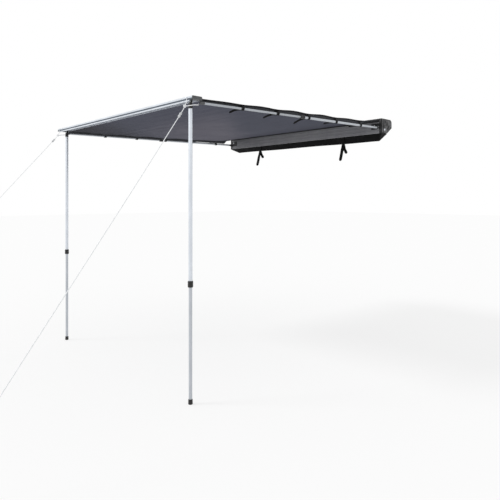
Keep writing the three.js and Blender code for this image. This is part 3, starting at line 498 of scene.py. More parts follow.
def outward(points, faces):
    """The faces, turned over if the closed surface's signed volume is negative."""
    triangles = np.concatenate([faces[:, [0, 1, 2]], faces[:, [0, 2, 3]]])
    a, b, c = points[triangles[:, 0]], points[triangles[:, 1]], points[triangles[:, 2]]
    volume = np.einsum("ij,ij->i", a, np.cross(b, c)).sum()
    return faces if volume > 0 else faces[:, ::-1]


def grid_shell(points, wrap_rows=False):
    """A grid of points, whose columns close round, as a (points, faces) shell."""
    faces = grid_faces(*points.shape[:2], wrap_rows=wrap_rows, wrap_columns=True)
    points = points.reshape(-1, 3)
    return points, outward(points, faces)


def joined(*shells):
    """Several (points, faces) shells as one."""
    starts = np.cumsum([0, *(len(points) for points, _ in shells)])
    points = np.concatenate([points for points, _ in shells])
    return points, np.concatenate([faces + start for (_, faces), start in zip(shells, starts)])


def sewn(*parts):
    """Several swept parts as one: the shell, and what is stored on it."""
    shells, kept = zip(*parts)
    return joined(*shells), {key: np.concatenate([one[key] for one in kept]) for key in kept[0]}


def merged(points, faces, distance):
    """One of each set of points that fall together, by its number, and the faces between them."""
    keys = np.round(points / distance).astype(np.int64)
    _, first, back = np.unique(keys, axis=0, return_index=True, return_inverse=True)
    return first, back.reshape(-1)[faces]


def welded(points, faces, stored):
    """Points that fall together made one, and the quads that this narrows made triangles or dropped."""
    first, faces = merged(points, faces, 1e-7)
    same = faces == np.roll(faces, 1, axis=1)
    whole = ~same.any(axis=1)
    narrow = [row[~flags].tolist() for row, flags in zip(faces[~whole], same[~whole])]
    rows = faces[whole].tolist() + [row for row in narrow if len(set(row)) >= 3]
    return points[first], rows, {name: values[first] for name, values in stored.items()}


def mesh_piece(name, shell, finish, node, body=None, smooth=35.0, stored=None):
    """A finished piece from a shell, with the numbers that its finish reads stored at its points."""
    points, faces = shell
    points, rows, values = welded(points, faces, stored or {})
    mesh = bpy.data.meshes.new(name)
    mesh.from_pydata(points.tolist(), [], rows)
    for key, numbers in values.items():
        mesh.attributes.new(key, "FLOAT", "POINT").data.foreach_set("value", numbers.astype(np.float32))
    mesh.validate()
    return finished_piece(name, mesh, finish, node, body, smooth)


def finished_piece(name, mesh, finish, node, body, smooth):
    """A mesh as a piece, with its finish, the CAD node that it stands for, if any. It rides
    on the body, or else on the node's own one. Edges above the angle smooth stay sharp."""
    mesh.shade_smooth()
    mesh.set_sharp_from_angle(angle=math.radians(smooth))
    mesh.materials.append(finish_named(finish))
    piece = bpy.data.objects.new(name, mesh)
    bpy.context.scene.collection.objects.link(piece)
    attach(piece, body or body_of_node(node))
    if node:
        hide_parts(node)
    return piece


def body_of_node(node):
    """The body that the CAD node belongs to."""
    for body, members in frame["record"]["behaviour"]["bodies"].items():
        if node in members:
            return body
    raise ValueError(f"no body holds {node}")


def softened(name, node, finish, width, segments=2):
    """A merged copy of a CAD node whose sharp edges are rounded by a bevel, and which stands for it."""
    source = frame["nodes"][node].data
    points = np.empty((len(source.vertices), 3))
    source.vertices.foreach_get("co", points.ravel())
    corners = np.empty((len(source.polygons), 3), int)
    source.polygons.foreach_get("vertices", corners.ravel())
    first, triangles = merged(points, corners, 1e-6)
    mesh = bpy.data.meshes.new(name)
    mesh.from_pydata(points[first].tolist(), [], triangles.tolist())
    work = bmesh.new()
    work.from_mesh(mesh)
    bmesh.ops.dissolve_degenerate(work, dist=1e-6, edges=work.edges)
    bmesh.ops.dissolve_limit(work, angle_limit=math.radians(0.6), verts=work.verts, edges=work.edges)
    work.to_mesh(mesh)
    work.free()
    piece = finished_piece(name, mesh, finish, node, None, 30.0)
    bevel = piece.modifiers.new("rounded_edges", "BEVEL")
    bevel.width = width
    bevel.segments = segments
    bevel.limit_method = "ANGLE"
    bevel.angle_limit = math.radians(38)


def filleted(profile, radius, steps=3):
    """A profile whose inner corners are rounded: each is replaced by a short curve that starts and ends
    at most radius away from it."""
    points = np.array(profile, float)
    rounded = [points[:1]]
    t = np.linspace(0, 1, steps + 1)[:, None]
    for before, corner, after in zip(points[:-2], points[1:-1], points[2:]):
        back, on = before - corner, after - corner
        reach = min(radius, 0.45 * np.linalg.norm(back), 0.45 * np.linalg.norm(on))
        start = corner + back / max(np.linalg.norm(back), 1e-9) * reach
        end = corner + on / max(np.linalg.norm(on), 1e-9) * reach
        rounded.append((1 - t) ** 2 * start + 2 * t * (1 - t) * corner + t ** 2 * end)
    rounded.append(points[-1:])
    return np.concatenate(rounded)


def unit(vectors):
    """The vectors at a length of 1."""
    return vectors / np.maximum(np.linalg.norm(vectors, axis=-1, keepdims=True), 1e-12)


def turned(profile, sides, ripple=None):
    """A profile of (radius, height) turned about Z. ripple(angle, height, radius) is added to the radius
    where it isn't zero. The profile is closed, or starts and ends on the axis."""
    profile = np.array(profile, float)
    closed = np.allclose(profile[0], profile[-1])
    if closed:
        profile = profile[:-1]
    angle = np.arange(sides) * math.tau / sides
    radius, height = (column[:, None] + np.zeros(sides) for column in profile.T)
    if ripple is not None:
        radius = np.where(radius > 1e-6, radius + ripple(angle[None, :], height, radius), 0.0)
    return grid_shell(np.stack([radius * np.cos(angle), radius * np.sin(angle), height], -1), closed)


def rod(radius, low, high, sides=32, edge=0.0):
    """A plain round bar or disc along Z, whose rims are rounded if it has an edge."""
    profile = [(0, low), (radius, low), (radius, high), (0, high)]
    return turned(filleted(profile, edge) if edge else profile, sides)


def placed(shell, origin, axis=(0, 0, 1)):
    """The shell with its origin moved there and its Z turned along the axis."""
    points, faces = shell
    third = np.array(axis, float) / np.linalg.norm(axis)
    start = np.array([1.0, 0, 0]) if abs(third[0]) < 0.9 else np.array([0, 1.0, 0])
    first = unit(np.cross(np.cross(third, start), third))
    return points @ np.stack([first, np.cross(third, first), third]) + np.array(origin), faces


def smooth_route(points, count):
    """count points along the smooth curve through the given ones, which takes each point's direction
    from its two neighbours."""
    p = np.array(points, float)
    p = np.vstack([2 * p[0] - p[1], p, 2 * p[-1] - p[-2]])
    t = np.linspace(0, len(points) - 1, count)
    i = np.minimum(t.astype(int), len(points) - 2)
    u = (t - i)[:, None]
    a, b, c, d = p[i], p[i + 1], p[i + 2], p[i + 3]
    return 0.5 * (2 * b + (c - a) * u + (2 * a - 5 * b + 4 * c - d) * u**2 + (3 * b - a - 3 * c + d) * u**3)


def lengths_along(path):
    """The way from the path's start to each of its points."""
    return np.concatenate([[0], np.cumsum(np.linalg.norm(np.diff(path, axis=0), axis=1))])


def shares_along(path):
    """The share of the path's length that lies before each of its points."""
    along = lengths_along(path)
    return along / along[-1]


def line_at(places, along, line):
    """Points at the places along a line, whose own points lie at along."""
    return np.stack([np.interp(places, along, column) for column in np.transpose(line)], -1)


def resampled(line, count, closed=False):
    """count points at equal distances along a line, which leads back to its start if it is closed."""
    line = np.vstack([line, line[:1]]) if closed else line
    line = line[np.concatenate([[True], np.linalg.norm(np.diff(line, axis=0), axis=1) > 1e-9])]
    along = lengths_along(line)
    return line_at(np.linspace(0, along[-1], count, endpoint=not closed), along, line)


def swept(path, across, section, taper=None, evenly=False):
    """A closed flat section carried along a path: each point is the path's point, plus the section's
    first number along across, plus its second along the normal. taper narrows the first number, and
    the second one too if it works evenly. Both ends are closed."""
    tangent = unit(np.gradient(path, axis=0))
    across = unit(across - (across * tangent).sum(1)[:, None] * tangent)
    normal = np.cross(tangent, across)
    size = np.ones((len(path), 1)) if taper is None else taper[:, None]
    width = section[:, 0] * size
    thick = section[:, 1] * (size if evenly else 1)
    points = path[:, None] + across[:, None] * width[..., None] + normal[:, None] * thick[..., None]
    ends = np.repeat(points.mean(axis=1)[[0, -1], None], len(section), axis=1)
    stored = {
        "along": np.repeat(np.pad(lengths_along(path), 1, mode="edge"), len(section)),
        "across": np.pad(width.ravel(), len(section)),
    }
    return grid_shell(np.concatenate([ends[:1], points, ends[1:]])), stored


def round_section(radius, sides):
    """Points round a circle."""
    angle = np.arange(sides) * math.tau / sides
    return radius * np.stack([np.cos(angle), np.sin(angle)], -1)


def tape_section(width, thickness):
    """Outline of a webbing's cross-section: flat faces and half-round edges."""
    half, radius = width / 2 - thickness / 2, thickness / 2
    angle = np.linspace(-math.pi / 2, math.pi / 2, 5)
    right = np.stack([half + radius * np.cos(angle), radius * np.sin(angle)], -1)
    top = np.stack([np.linspace(half, -half, 7)[1:-1], np.full(5, radius)], -1)
    return np.concatenate([right, top, -right, -top])


def rope_shell(path, radius, sides=12):
    """A round cord along a path, with the way along and around it stored for the braid."""
    shell, stored = swept(path, ALONG_X, round_section(radius, sides))
    return shell, {"along": stored["along"], "around": np.tile(np.arange(sides) / sides, len(path) + 2)}


def closed_cord(path, radius, sides):
    """A round cord along a closed path round the origin, whose last point is its first."""
    path = path[:-1]
    tangent = unit(np.roll(path, -1, axis=0) - np.roll(path, 1, axis=0))
    up = unit(np.cross(tangent, path))
    out, section = np.cross(up, tangent), round_section(radius, sides)
    points = path[:, None] + out[:, None] * section[:, :1] + up[:, None] * section[:, 1:]
    around = np.tile(np.arange(sides) / sides, len(path))
    return grid_shell(points, True), {"along": np.repeat(lengths_along(path), sides), "around": around}


def cloth_shell(middle, thickness):
    """A closed sheet: the middle surface, a grid of points, moved half the thickness to both sides along
    its normals, with the two layers joined round the rim."""
    normal = unit(np.cross(np.gradient(middle, axis=0), np.gradient(middle, axis=1)))
    half = normal * (np.zeros(middle.shape[:2]) + thickness)[..., None] / 2
    rows, columns = middle.shape[:2]
    count = rows * columns
    points = np.concatenate([(middle + half).reshape(-1, 3), (middle - half).reshape(-1, 3)])
    sheet = grid_faces(rows, columns)
    index = np.arange(count).reshape(rows, columns)
    rim = np.concatenate([index[0, :-1], index[:-1, -1], index[-1, :0:-1], index[:0:-1, 0]])
    after = np.roll(rim, -1)
    wall = np.stack([rim, after, after + count, rim + count], -1)
    return points, outward(points, np.concatenate([sheet[:, ::-1], sheet + count, wall]))


def ease(value):
    """A smooth step from 0 to 1 while the value goes from 0 to 1."""
    value = np.clip(value, 0, 1)
    return value * value * (3 - 2 * value)


# Canopy and its straps


def canopy_half(t):
    """Half the canopy's width at the share t of the way from rail to board."""
    return CANOPY_FRONT_HALF + (CANOPY_BACK_HALF - CANOPY_FRONT_HALF) * t


def canopy_height(across, t):
    """Height of the cloth's underside: a straight line from rail to board, less a droop that grows
    quickly behind the rail and ends at the board, a sag in the middle, folds, scallops between the side
    straps, and a pull that lifts the right side and lowers the left one. across is -1 to 1, and t is 0
    at the rail and 1 at the board."""
    straight = RAIL_HEM_Z + (BOARD_HEM_Z - RAIL_HEM_Z) * t
    droop = 0.036 * t**0.7 * (1 - t**14)
    hang = np.sin(math.pi * t)
    sag = 0.018 * (1 - across**2) * hang
    waves = np.sin(9 * t + 2.2 * across) + 0.5 * np.sin(17 * t - 3 * across)
    folds = 0.005 * hang * waves * (1 - across**4)
    y = CANOPY_FRONT + CANOPY_LENGTH * t
    scallop = 0.004 * np.abs(across) ** 6 * hang * np.cos(math.tau * (y + 1.889) / 0.383)
    pull = 0.0085 * np.sign(across) * np.abs(across) ** 3 * np.clip(hang, 0, 1) ** 0.5
    return straight - droop - sag + folds - scallop + pull - 0.001


def canopy_wrinkles(x, y, t, inset, depth):
    """Small relief on the cloth: long ripples across it behind the front rail, slanting pull lines in
    its front corners, and short fans that spread from each side strap."""
    hang = np.sin(math.pi * t) ** 0.5
    drift = 0.5 * np.sin(2.3 * x + 0.7) + 0.3 * np.sin(5.1 * x - 1.1)
    zone = np.exp(-(((y + 1.92 + 0.10 * np.sin(1.7 * x)) / 0.26) ** 2))
    ripples = np.sin(math.tau * (y * 7.5 + 0.32 * drift)) * zone
    ripples += 0.6 * np.sin(math.tau * (y * 13.0 - 0.4 * drift)) * zone**2
    back = np.exp(-(((y + 0.35) / 0.2) ** 2)) * np.sin(math.tau * (x * 2.6 + y * 2.2))
    corner = np.exp(-((CANOPY_FRONT_HALF - np.abs(x)) / 0.4) - ((y + 2.276) / 0.5))
    pulls = corner * np.sin(math.tau * (np.abs(x) * 6.0 + y * 7.0))
    fans = np.zeros_like(x)
    for side, (start, spacing) in STRAP_ROWS.items():
        reach = np.abs(x - SIDES[side] * ARM_X)
        for i in range(len(TAIL_REACHES)):
            off = y - (start + i * spacing)
            far = np.sqrt(reach**2 + off**2)
            fans += np.exp(-far / 0.11) * np.cos(5 * np.arctan2(off, reach + 0.01)) * (reach > 0.004)
    edge_calm = ease(inset / 0.05)
    return depth * hang * edge_calm * (ripples + 0.5 * back + 0.7 * pulls + 0.6 * fans)


def canopy_grid():
    """Places across the canopy, closer together in the hems, and along it. Beyond each side comes the
    turned-back hem: the share of its way inwards under the cloth, and then of its way down."""
    inner = np.linspace(-1, 1, 150) * (CANOPY_FRONT_HALF - 0.08)
    hem = np.array([0.0, 0.0015, 0.004, 0.009, 0.010, 0.022, 0.035, 0.0365, 0.05, 0.062, 0.0735, 0.0755])
    outer = CANOPY_FRONT_HALF - hem
    back = np.array([1, 1, 1, 1, 1, 1, 1, 1, 0.94, 0.6, 0.3, 0.08, 0.0])
    down = np.array([1.0, 0.85, 0.7, 0.54, 0.4, 0.26, 0.12, 0.05, 0.0, 0.0, 0.0, 0.0, 0.0])
    edge = np.full(len(back), CANOPY_FRONT_HALF)
    level = np.full(len(inner) + 2 * len(outer), -1.0)
    across = np.concatenate([-edge, -outer, inner, outer[::-1], edge]) / CANOPY_FRONT_HALF
    back = np.concatenate([back, level, back[::-1]])
    down = np.concatenate([down, 0 * level, down[::-1]])
    across, t = np.meshgrid(across, np.linspace(0, 1, 236), indexing="ij")
    return across, t, back[:, None] + 0 * t, down[:, None] + 0 * t


def build_canopy(cloth):
    """The canopy is a closed sheet whose height is a function of the places across and along it. Its
    side hems are turned back under it, and then hang down inside the arms, clear of them."""
    across, t, back, down = canopy_grid()
    x = across * canopy_half(t)
    y = CANOPY_FRONT + CANOPY_LENGTH * t
    inset = canopy_half(t) - np.abs(x)
    turned_back = back >= 0
    doubled_hem = 1 - ease((inset - 0.0735) / 0.002)
    thickness = 0.0011 + 0.0008 * doubled_hem + 0.0004 * (1 - ease((inset - 0.009) / 0.001))
    thickness = np.where(turned_back, 0.0018, thickness)
    height = canopy_height(across, t) + canopy_wrinkles(x, y, t, inset, cloth.wrinkle_depth)
    way = (canopy_half(t) - HEM_FALL_X) * np.maximum(back, 0)
    right = across > 0
    clear = 0.0035 + 0.0095 * ease((t - 0.70) / 0.04)
    # Painted shade: on the left the dark hanging hem also covers the arm. It is partly the cloth's real hem
    # and partly a dark sheet standing in for the shade on that arm.
    longest = np.where(right, 0.028, 0.028 + 0.020 * ease((t - 0.8) / 0.1))
    drop = np.minimum(longest, canopy_height(np.sign(across), t) - arm_height(y) - clear)
    drop = drop * (1 - 0.9 * ease((t - np.where(right, 0.86, 0.928)) / np.where(right, 0.06, 0.024))) * down
    wave = 0.0011 * np.sin(23 * y) * np.sin(math.pi * t) * down**2
    fall = np.where(turned_back, 0.0031, 0.0) + drop
    middle = np.stack([x - np.sign(across) * (way + wave), y, height + thickness / 2 - fall], -1)
    inset = np.where(turned_back, -HEM_GAP - way - drop, inset)
    piece = mesh_piece(
        "canopy_sheet", cloth_shell(middle, thickness), "woven_canopy", "canopy",
        smooth=50.0, stored={"inset": np.tile(inset.ravel(), 2)},
    )
    roll_up(piece)


def roll_up(piece):
    """Gives the piece its own copy of its mesh."""
    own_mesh(piece)


def arm_height(y):
    """Height of an arm's axis at the place y."""
    return ARM_PIVOT_Z - (ARM_PIVOT_Y - y) * math.tan(ARM_LEAN)


def edge_strap(word, number, y, long, low):
    """A strap sewn under the canopy's hem: it drops to the arm, winds once round it and a little
    further, each turn outside the last. Its tail lies along the arm towards the rail: the right one on
    the inner side, hanging by low at its end, and the left one on the outer side, shorter and lifted."""
    side, right = SIDES[word], word == "right"
    centre = np.array([side * ARM_X, y, arm_height(y)])
    t = (y - CANOPY_FRONT) / CANOPY_LENGTH
    hem = float(canopy_height(side * ARM_X / canopy_half(t), t)) - 0.0046
    radius = ARM_TUBE + 0.0019
    turn = np.linspace(0.12, math.tau * 1.22, 54)
    grow = radius + 0.0019 * turn / math.tau
    ring = np.stack([-np.sin(turn) * grow, np.zeros_like(turn), np.cos(turn) * grow], -1)
    drop = np.linspace(hem - centre[2], radius + 0.004, 8)
    tab = np.stack([np.full(8, -0.0048), np.zeros(8), drop], -1)
    path = np.concatenate([tab, ring[2:]]) * [side, 1, 1] + centre
    section = tape_section(0.025, 0.0014)
    loop = swept(smooth_route(path[::2], 90), np.array([0.0, 1.0, 0.0]), section)
    s = np.linspace(0, 1, 30)
    outer_half = ease((s - 0.4) / 0.6)
    curl = 0.0028 * outer_half * (1 + np.sin(2.2 * s + y * 9))
    fall = (low - 0.002) * s**1.8 if right else -0.008 * ease(s / 0.3)
    tail_path = centre + np.stack([
        -(radius + 0.0036 + curl),
        0.010 - (long if right else 0.6 * long) * s,
        -0.002 - fall,
    ], -1)
    twist = 0.1 + 0.45 * math.sin(7 * y) * outer_half
    tail_across = np.stack([np.sin(twist) * 0.6 * side, np.full_like(s, 0.25), np.cos(twist)], -1)
    tail = swept(tail_path, tail_across, section, 0.62 * (1 - 0.45 * ease((s - 0.92) / 0.08)))
    shell, stored = sewn(loop, tail)
    name, node = f"hem_tie_{word}_{number}", f"edge_strap_{word}_{number}"
    piece = mesh_piece(name, shell, "black_webbing", node, smooth=60.0, stored=stored)
    roll_up(piece)


def build_edge_straps():
    """Five straps along each arm, whose tails differ."""
    for word, (start, spacing) in STRAP_ROWS.items():
        for i, (long, low) in enumerate(TAIL_REACHES):
            edge_strap(word, i + 1, start + i * spacing, long, low)


# Board, case and bag


def cap_outline():
    """Outline of the end cap in Y and Z: a five-sided form with a large round upper back corner."""
    angle = np.linspace(math.pi / 2, 0, 10)
    arc = np.stack([0.131 + 0.034 * np.cos(angle), 0.052 + 0.034 * np.sin(angle)], -1)
    start, below = [[-0.0237, 0.012]], [[0.165, 0.002], [0.076, -0.06], [-0.0237, -0.06]]
    return filleted(np.concatenate([start, [[-0.0237, 0.086]], arc, below, start]), 0.006, 4)


def build_cap(word):
    """End cap: its outline is carried from a lip outwards over a round shoulder, then drawn in to the
    middle of the outer face, whose slanting creases are waves in X; the inside is the same, one wall in.
    The stored rim says how dark the cloth is edged: half on the lip and walls, and fully round the face
    and down two seams in it."""
    outline = resampled(cap_outline(), 168, closed=True)
    centre = np.array(CAP_CENTRE)
    inner = CASE_HALF - CAP_WIDTH + 0.0003
    depth = CASE_HALF - 0.0002 - inner
    lip = [(1.018, 0.0), (1.022, 0.0012), (1.022, 0.003), (1.0, 0.0045)]
    walls = [(1.0, 0.5 * depth), (1.0, depth - 0.006)]
    bend = np.linspace(0, math.pi / 2, 6)[1:]
    shoulder = [(1 - 0.06 * (1 - math.cos(a)), depth - 0.006 + 0.006 * math.sin(a)) for a in bend]
    face = [(share, depth) for share in np.linspace(0.92, 0.0, 30)]
    under = [(share, depth - 0.003) for share in np.linspace(0.0, 0.93, 8)]
    inside = [(0.945, depth - 0.006), (0.95, 0.004), (0.95, 0.0)]
    rings = np.array(lip + walls + shoulder + face + under + inside)
    share, reach = rings[:, :1], rings[:, 1:]
    y, z = np.moveaxis(centre + share[..., None] * (outline - centre), -1, 0)
    row = np.arange(len(rings))[:, None]
    first = len(lip + walls + shoulder)
    on_face = (row >= first) & (row < first + len(face))
    bolt_far = np.hypot(y - CAP_BOLT[0], z - CAP_BOLT[1])
    crease = ease((0.95 - share) / 0.12) * on_face * ease((bolt_far - 0.015) / 0.02)
    slant = y * 0.62 + z * 0.78
    waves = np.sin(math.tau * (slant * 21 + 0.5 * np.sin(60 * y - 25 * z)))
    waves += 0.55 * np.sin(math.tau * (slant * 43 - 0.6 * np.sin(48 * z)))
    x = inner + reach - crease * 0.0011 * (1.6 + waves)
    shell = grid_shell(np.stack([SIDES[word] * x, y, z], -1), True)
    on_walls = row < len(lip + walls) - 1
    seams = np.exp(-(((y - 0.0105) / 0.0068) ** 2)) + np.exp(-(((y + 0.024) / 0.006) ** 2))
    rim = np.maximum(np.where(on_walls, 0.915, share - 0.02), 0.8 + 0.2 * seams * ~on_walls)
    mesh_piece(
        f"end_cap_{word}", shell, "cap_cloth", f"case_cap_{word}", smooth=40.0,
        stored={"rim": rim.ravel()},
    )


def hex_head(radius, height):
    """A six-sided bolt head with a chamfered top, on a washer face."""
    chamfer = 0.12
    flat = radius * math.cos(math.pi / 6)
    profile = [(0, 0), (radius, 0), (radius, height * 0.8), (flat * (1 - chamfer), height), (0, height)]
    return turned(profile, 6)


def pan_head(radius, height):
    """A round screw head: a dome on a straight rim."""
    angle = np.linspace(0, math.pi / 2, 7)
    dome = [(radius * math.cos(a), height * (0.3 + 0.7 * math.sin(a))) for a in angle]
    return turned([(0, 0), (radius, 0), *dome[:-1], (0, height)], 24)


def build_cover():
    """Soft cover: a sheet along X whose section goes back over the top and down behind, pulled in a
    little between the end caps, with ripples that deepen down the back."""
    arc = np.linspace(math.pi / 2, 0, 14)
    corner = np.stack([0.131 + 0.0325 * np.cos(arc), 0.0513 + 0.0325 * np.sin(arc)], -1)
    section = resampled(np.concatenate([[[-0.0235, 0.0838]], corner, [[0.1635, 0.0045]]]), 64)
    u = np.linspace(-1, 1, 260)[:, None]
    down = np.linspace(0, 1, len(section))[None, :]
    x = u * (CASE_HALF - CAP_WIDTH - 0.0005) + 0 * down
    y, z = (column + 0 * x for column in section.T)
    calm = ease((1 - np.abs(u)) / 0.05)
    top = ease(down / 0.08) * ease((0.5 - down) / 0.1)
    back = ease((down - 0.62) / 0.1)
    ripple = np.sin(19 * x + 3 * np.sin(4.1 * x) + 6 * down) + 0.5 * np.sin(43 * x - 9 * down)
    y = y - back * calm * (0.0022 + 0.0022 * ripple * (0.4 + down))
    z = z + top * calm * (0.0012 + 0.0012 * np.sin(11 * x + 40 * y))
    thickness = 0.0018 + 0.0022 * ease((down - 0.955) / 0.01)
    shell = cloth_shell(np.stack([x, y, z], -1), thickness)
    piece = mesh_piece("bag_cover", shell, "coated_bag", "case_cover", smooth=60.0)


def build_flap():
    """Flap below the board: a sheet between an upper line, which follows the board's lower edge and turns
    back at both ends, and a lower line, with shallow hanging folds and a rolled lower hem."""
    corners = ((-1.152, 0.076), (-1.152, -0.0225), (1.152, -0.0225), (1.152, 0.076))
    upper = [(x, y, -0.0625) for x, y in corners]
    lower = [
        (-0.984, -0.0150, -0.1195), (-0.980, -0.0225, -0.120),
        (1.116, -0.0225, -0.142), (1.120, -0.0150, -0.1415),
    ]
    parts = [np.linspace(i, i + 1, count, endpoint=False) for i, count in enumerate((14, 250, 14))]
    place = np.concatenate([*parts, [3.0]])
    down = np.linspace(0, 1, 22)[None, :]
    upper, lower = (line_at(place, range(4), line)[:, None] for line in (upper, lower))
    sheet = upper * (1 - down[..., None]) + lower * down[..., None]
    front = (ease((place - 1) / 0.02) * ease((2 - place) / 0.02))[:, None]
    x = sheet[..., 0]
    folds = np.sin(9 * x + 1.3 * np.sin(3 * x)) + 0.5 * np.sin(23 * x + 2 * down)
    sheet[..., 1] += front * down * (0.0012 + 0.0012 * folds)
    sheet[..., 2] += front * down * 0.0015 * np.sin(6.5 * x)
    shell = cloth_shell(sheet, 0.0018 + 0.0012 * ease((down - 0.86) / 0.02))
    piece = mesh_piece("bag_lip", shell, "coated_bag", "bag_flap", smooth=50.0)


def bag_strap(word, x, low, *tails):
    """Webbing that hangs in front of the flap: one length runs down and on into the first tail, and a
    second, which lies behind it, into the other one. Both tails curl a little and have slanting ends."""
    parts = []
    for dx, dz in tails:
        y = -0.0273 if parts else -0.0296
        route = [
            (x, y, -0.066), (x, y, 0.5 * (low + 0.03 - 0.066)), (x, y, low + 0.03),
            (x + 0.12 * dx, y, low + 0.012), (x + 0.4 * dx, y - 0.002, low + 0.36 * dz),
            (x + 0.8 * dx, y + 0.003, low + 0.74 * dz), (x + dx, y - 0.001, low + dz),
        ]
        path = smooth_route(route, 70)
        along = shares_along(path)
        turn = 0.8 * ease((along - 0.35) / 0.3)[:, None]
        flat = np.cross(unit(np.gradient(path, axis=0)), [0.0, 1.0, 0.0])
        across = flat * np.cos(turn) + np.array([0.0, 1.0, 0.0]) * np.sin(turn)
        taper = 1 - 0.45 * ease((along - 0.94) / 0.06)
        parts.append(swept(path, across, tape_section(0.031, 0.0021), taper))
    shell, stored = sewn(*parts)
    name, node = f"bag_tie_{word}", f"bag_strap_{word}"
    mesh_piece(name, shell, "black_webbing", node, smooth=60.0, stored=stored)


def build_case():
    """Board, end caps, cover, flap, straps and brackets, with the bolts that show."""
    softened("ribbed_board", "back_board", "board_coating", 0.0005)
    build_cover()
    build_flap()
    bag_strap("left", -0.582, -0.140, (-0.056, -0.163), (0.045, -0.074))
    bag_strap("right", 0.688, -0.160, (-0.041, -0.155), (0.037, -0.082))
    for word, side in SIDES.items():
        build_cap(word)
        softened(f"rack_angle_{word}", f"mount_bracket_{word}", "enamelled_steel", 0.0008)
        parts = (
            (hex_head(0.0112, 0.0044), 0.0012), (rod(0.003, -0.022, 0.001, 16), 0.0),
            (rod(0.0148, -0.0002, 0.0012, 40, 0.0005), 0.0015),
        )
        bolt = joined(*(
            placed(shell, (side * (CASE_HALF - depth), *CAP_BOLT), (side, 0, 0)) for shell, depth in parts
        ))
        mesh_piece(f"cap_screw_{word}", bolt, "tube_aluminium", f"cap_bolt_{word}", smooth=28.0)


# Arms


def arm_place(word, distance):
    """The point on an arm's axis at a distance from its pivot, and the axis towards the rail."""
    axis = np.array([0.0, -math.cos(ARM_LEAN), -math.sin(ARM_LEAN)])
    origin = np.array([SIDES[word] * ARM_X, ARM_PIVOT_Y, ARM_PIVOT_Z])
    return origin + axis * distance, axis


def tube(radius, wall, low, high, sides):
    """A tube along Z whose four rim corners are rounded."""
    middle = (low + high) / 2
    bore = radius - wall
    profile = [(radius, middle), (radius, high), (bore, high), (bore, low), (radius, low), (radius, middle)]
    return turned(filleted(profile, 0.0004, 2), sides)


def collar(radius, wide, narrow, length, step):
    """A twist collar: a rolled rim at each end, a waist ring, a stepped bore, and ten rounded grooves down
    its outside, whose depth is a cosine round the collar where that is above 0."""
    profile = [
        (wide, 0.0), (radius - 0.0030, 0.0), (radius - 0.0004, 0.0035), (radius, 0.0060),
        (radius, 0.42 * length), (radius - 0.0012, 0.44 * length), (radius - 0.0012, 0.47 * length),
        (radius, 0.49 * length), (radius, length - 0.0060), (radius - 0.0004, length - 0.0035),
        (radius - 0.0030, length), (narrow, length), (narrow, step), (wide, step), (wide, 0.0),
    ]

    def grooves(angle, height, far):
        depth = 0.0011 * np.clip(np.cos(10 * angle), 0.0, 1.0) ** 1.4
        zone = ease((height - 0.006) / 0.003) * ease((length - 0.006 - height) / 0.003)
        return -depth * zone * (far > radius - 0.003)

    return turned(filleted(profile, 0.0011, 3), 120, grooves)


def flipped(shell, length):
    """The shell turned end for end over its length."""
    points, faces = shell
    return points * [1, 1, -1] + [0, 0, length], faces[:, ::-1]


def build_arm(word):
    """One swing arm with its bracket, pin, eye, tubes, collar and end."""
    join = ARM_JOIN[word]
    pivot, axis = arm_place(word, 0.0)
    start, _ = arm_place(word, join - 0.026)
    softened(f"arm_plate_{word}", f"arm_bracket_{word}", "enamelled_steel", 0.0007)
    softened(f"arm_hinge_pin_{word}", f"arm_pivot_pin_{word}", "zinc_steel", 0.0004)
    softened(f"arm_eye_{word}", f"arm_knuckle_{word}", "moulded_black", 0.0007)
    bolt = joined(*(
        placed(shell, (SIDES[word] * 1.077, y, 0.016), (0, -1, 0))
        for shell, y in ((pan_head(0.0062, 0.0036), -0.0358), (rod(0.0086, 0, 0.0011, 32, 0.0003), -0.0354))
    ))
    mesh_piece(f"plate_bolt_{word}", bolt, "zinc_steel", None, body="case", smooth=30.0)
    outer = placed(tube(ARM_TUBE, 0.0013, 0.0343, join + 0.008, 56), pivot, axis)
    ring = placed(collar(0.0155, ARM_TUBE + 0.0005, ARM_INNER + 0.0005, 0.052, 0.0343), start, axis)
    inner = placed(tube(ARM_INNER, 0.0012, join - 0.1, ARM_TIP, 48), pivot, axis)
    mesh_piece(f"arm_tube_{word}", outer, "arm_aluminium", f"arm_outer_tube_{word}")
    mesh_piece(f"arm_lock_{word}", ring, "moulded_black", f"arm_collar_{word}")
    mesh_piece(f"arm_slide_tube_{word}", inner, "arm_inner_aluminium", f"arm_inner_tube_{word}")
    build_arm_tip(word, pivot, axis)


def build_arm_tip(word, pivot, axis):
    """Cap on the arm's end with two raised bands, and the stud that carries the rail's end."""
    band = 0.0004
    profile = [(0, ARM_TIP + 0.0003), (ARM_TUBE, ARM_TIP + 0.0003)]
    for at in (0.006, 0.013):
        profile += [(ARM_TUBE, ARM_TIP + at), (ARM_TUBE + band, ARM_TIP + at + 0.001)]
        profile += [(ARM_TUBE + band, ARM_TIP + at + 0.003), (ARM_TUBE, ARM_TIP + at + 0.004)]
    profile += [(ARM_TUBE, ARM_END - 0.003), (ARM_TUBE - 0.003, ARM_END), (0, ARM_END)]
    cap = placed(turned(filleted(profile, 0.0008, 2), 56), pivot, axis)
    plug = placed(rod(0.0072, ARM_TIP - 0.026, ARM_TIP + 0.004), pivot, axis)
    foot, _ = arm_place(word, ARM_END - 0.006)
    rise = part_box(f"arm_tip_{word}")[1].z - foot[2]
    stud = placed(rod(0.005, 0, rise, 32, 0.0006), foot)
    mesh_piece(f"arm_end_{word}", joined(cap, plug, stud), "moulded_grey", f"arm_tip_{word}")


# Rail and legs


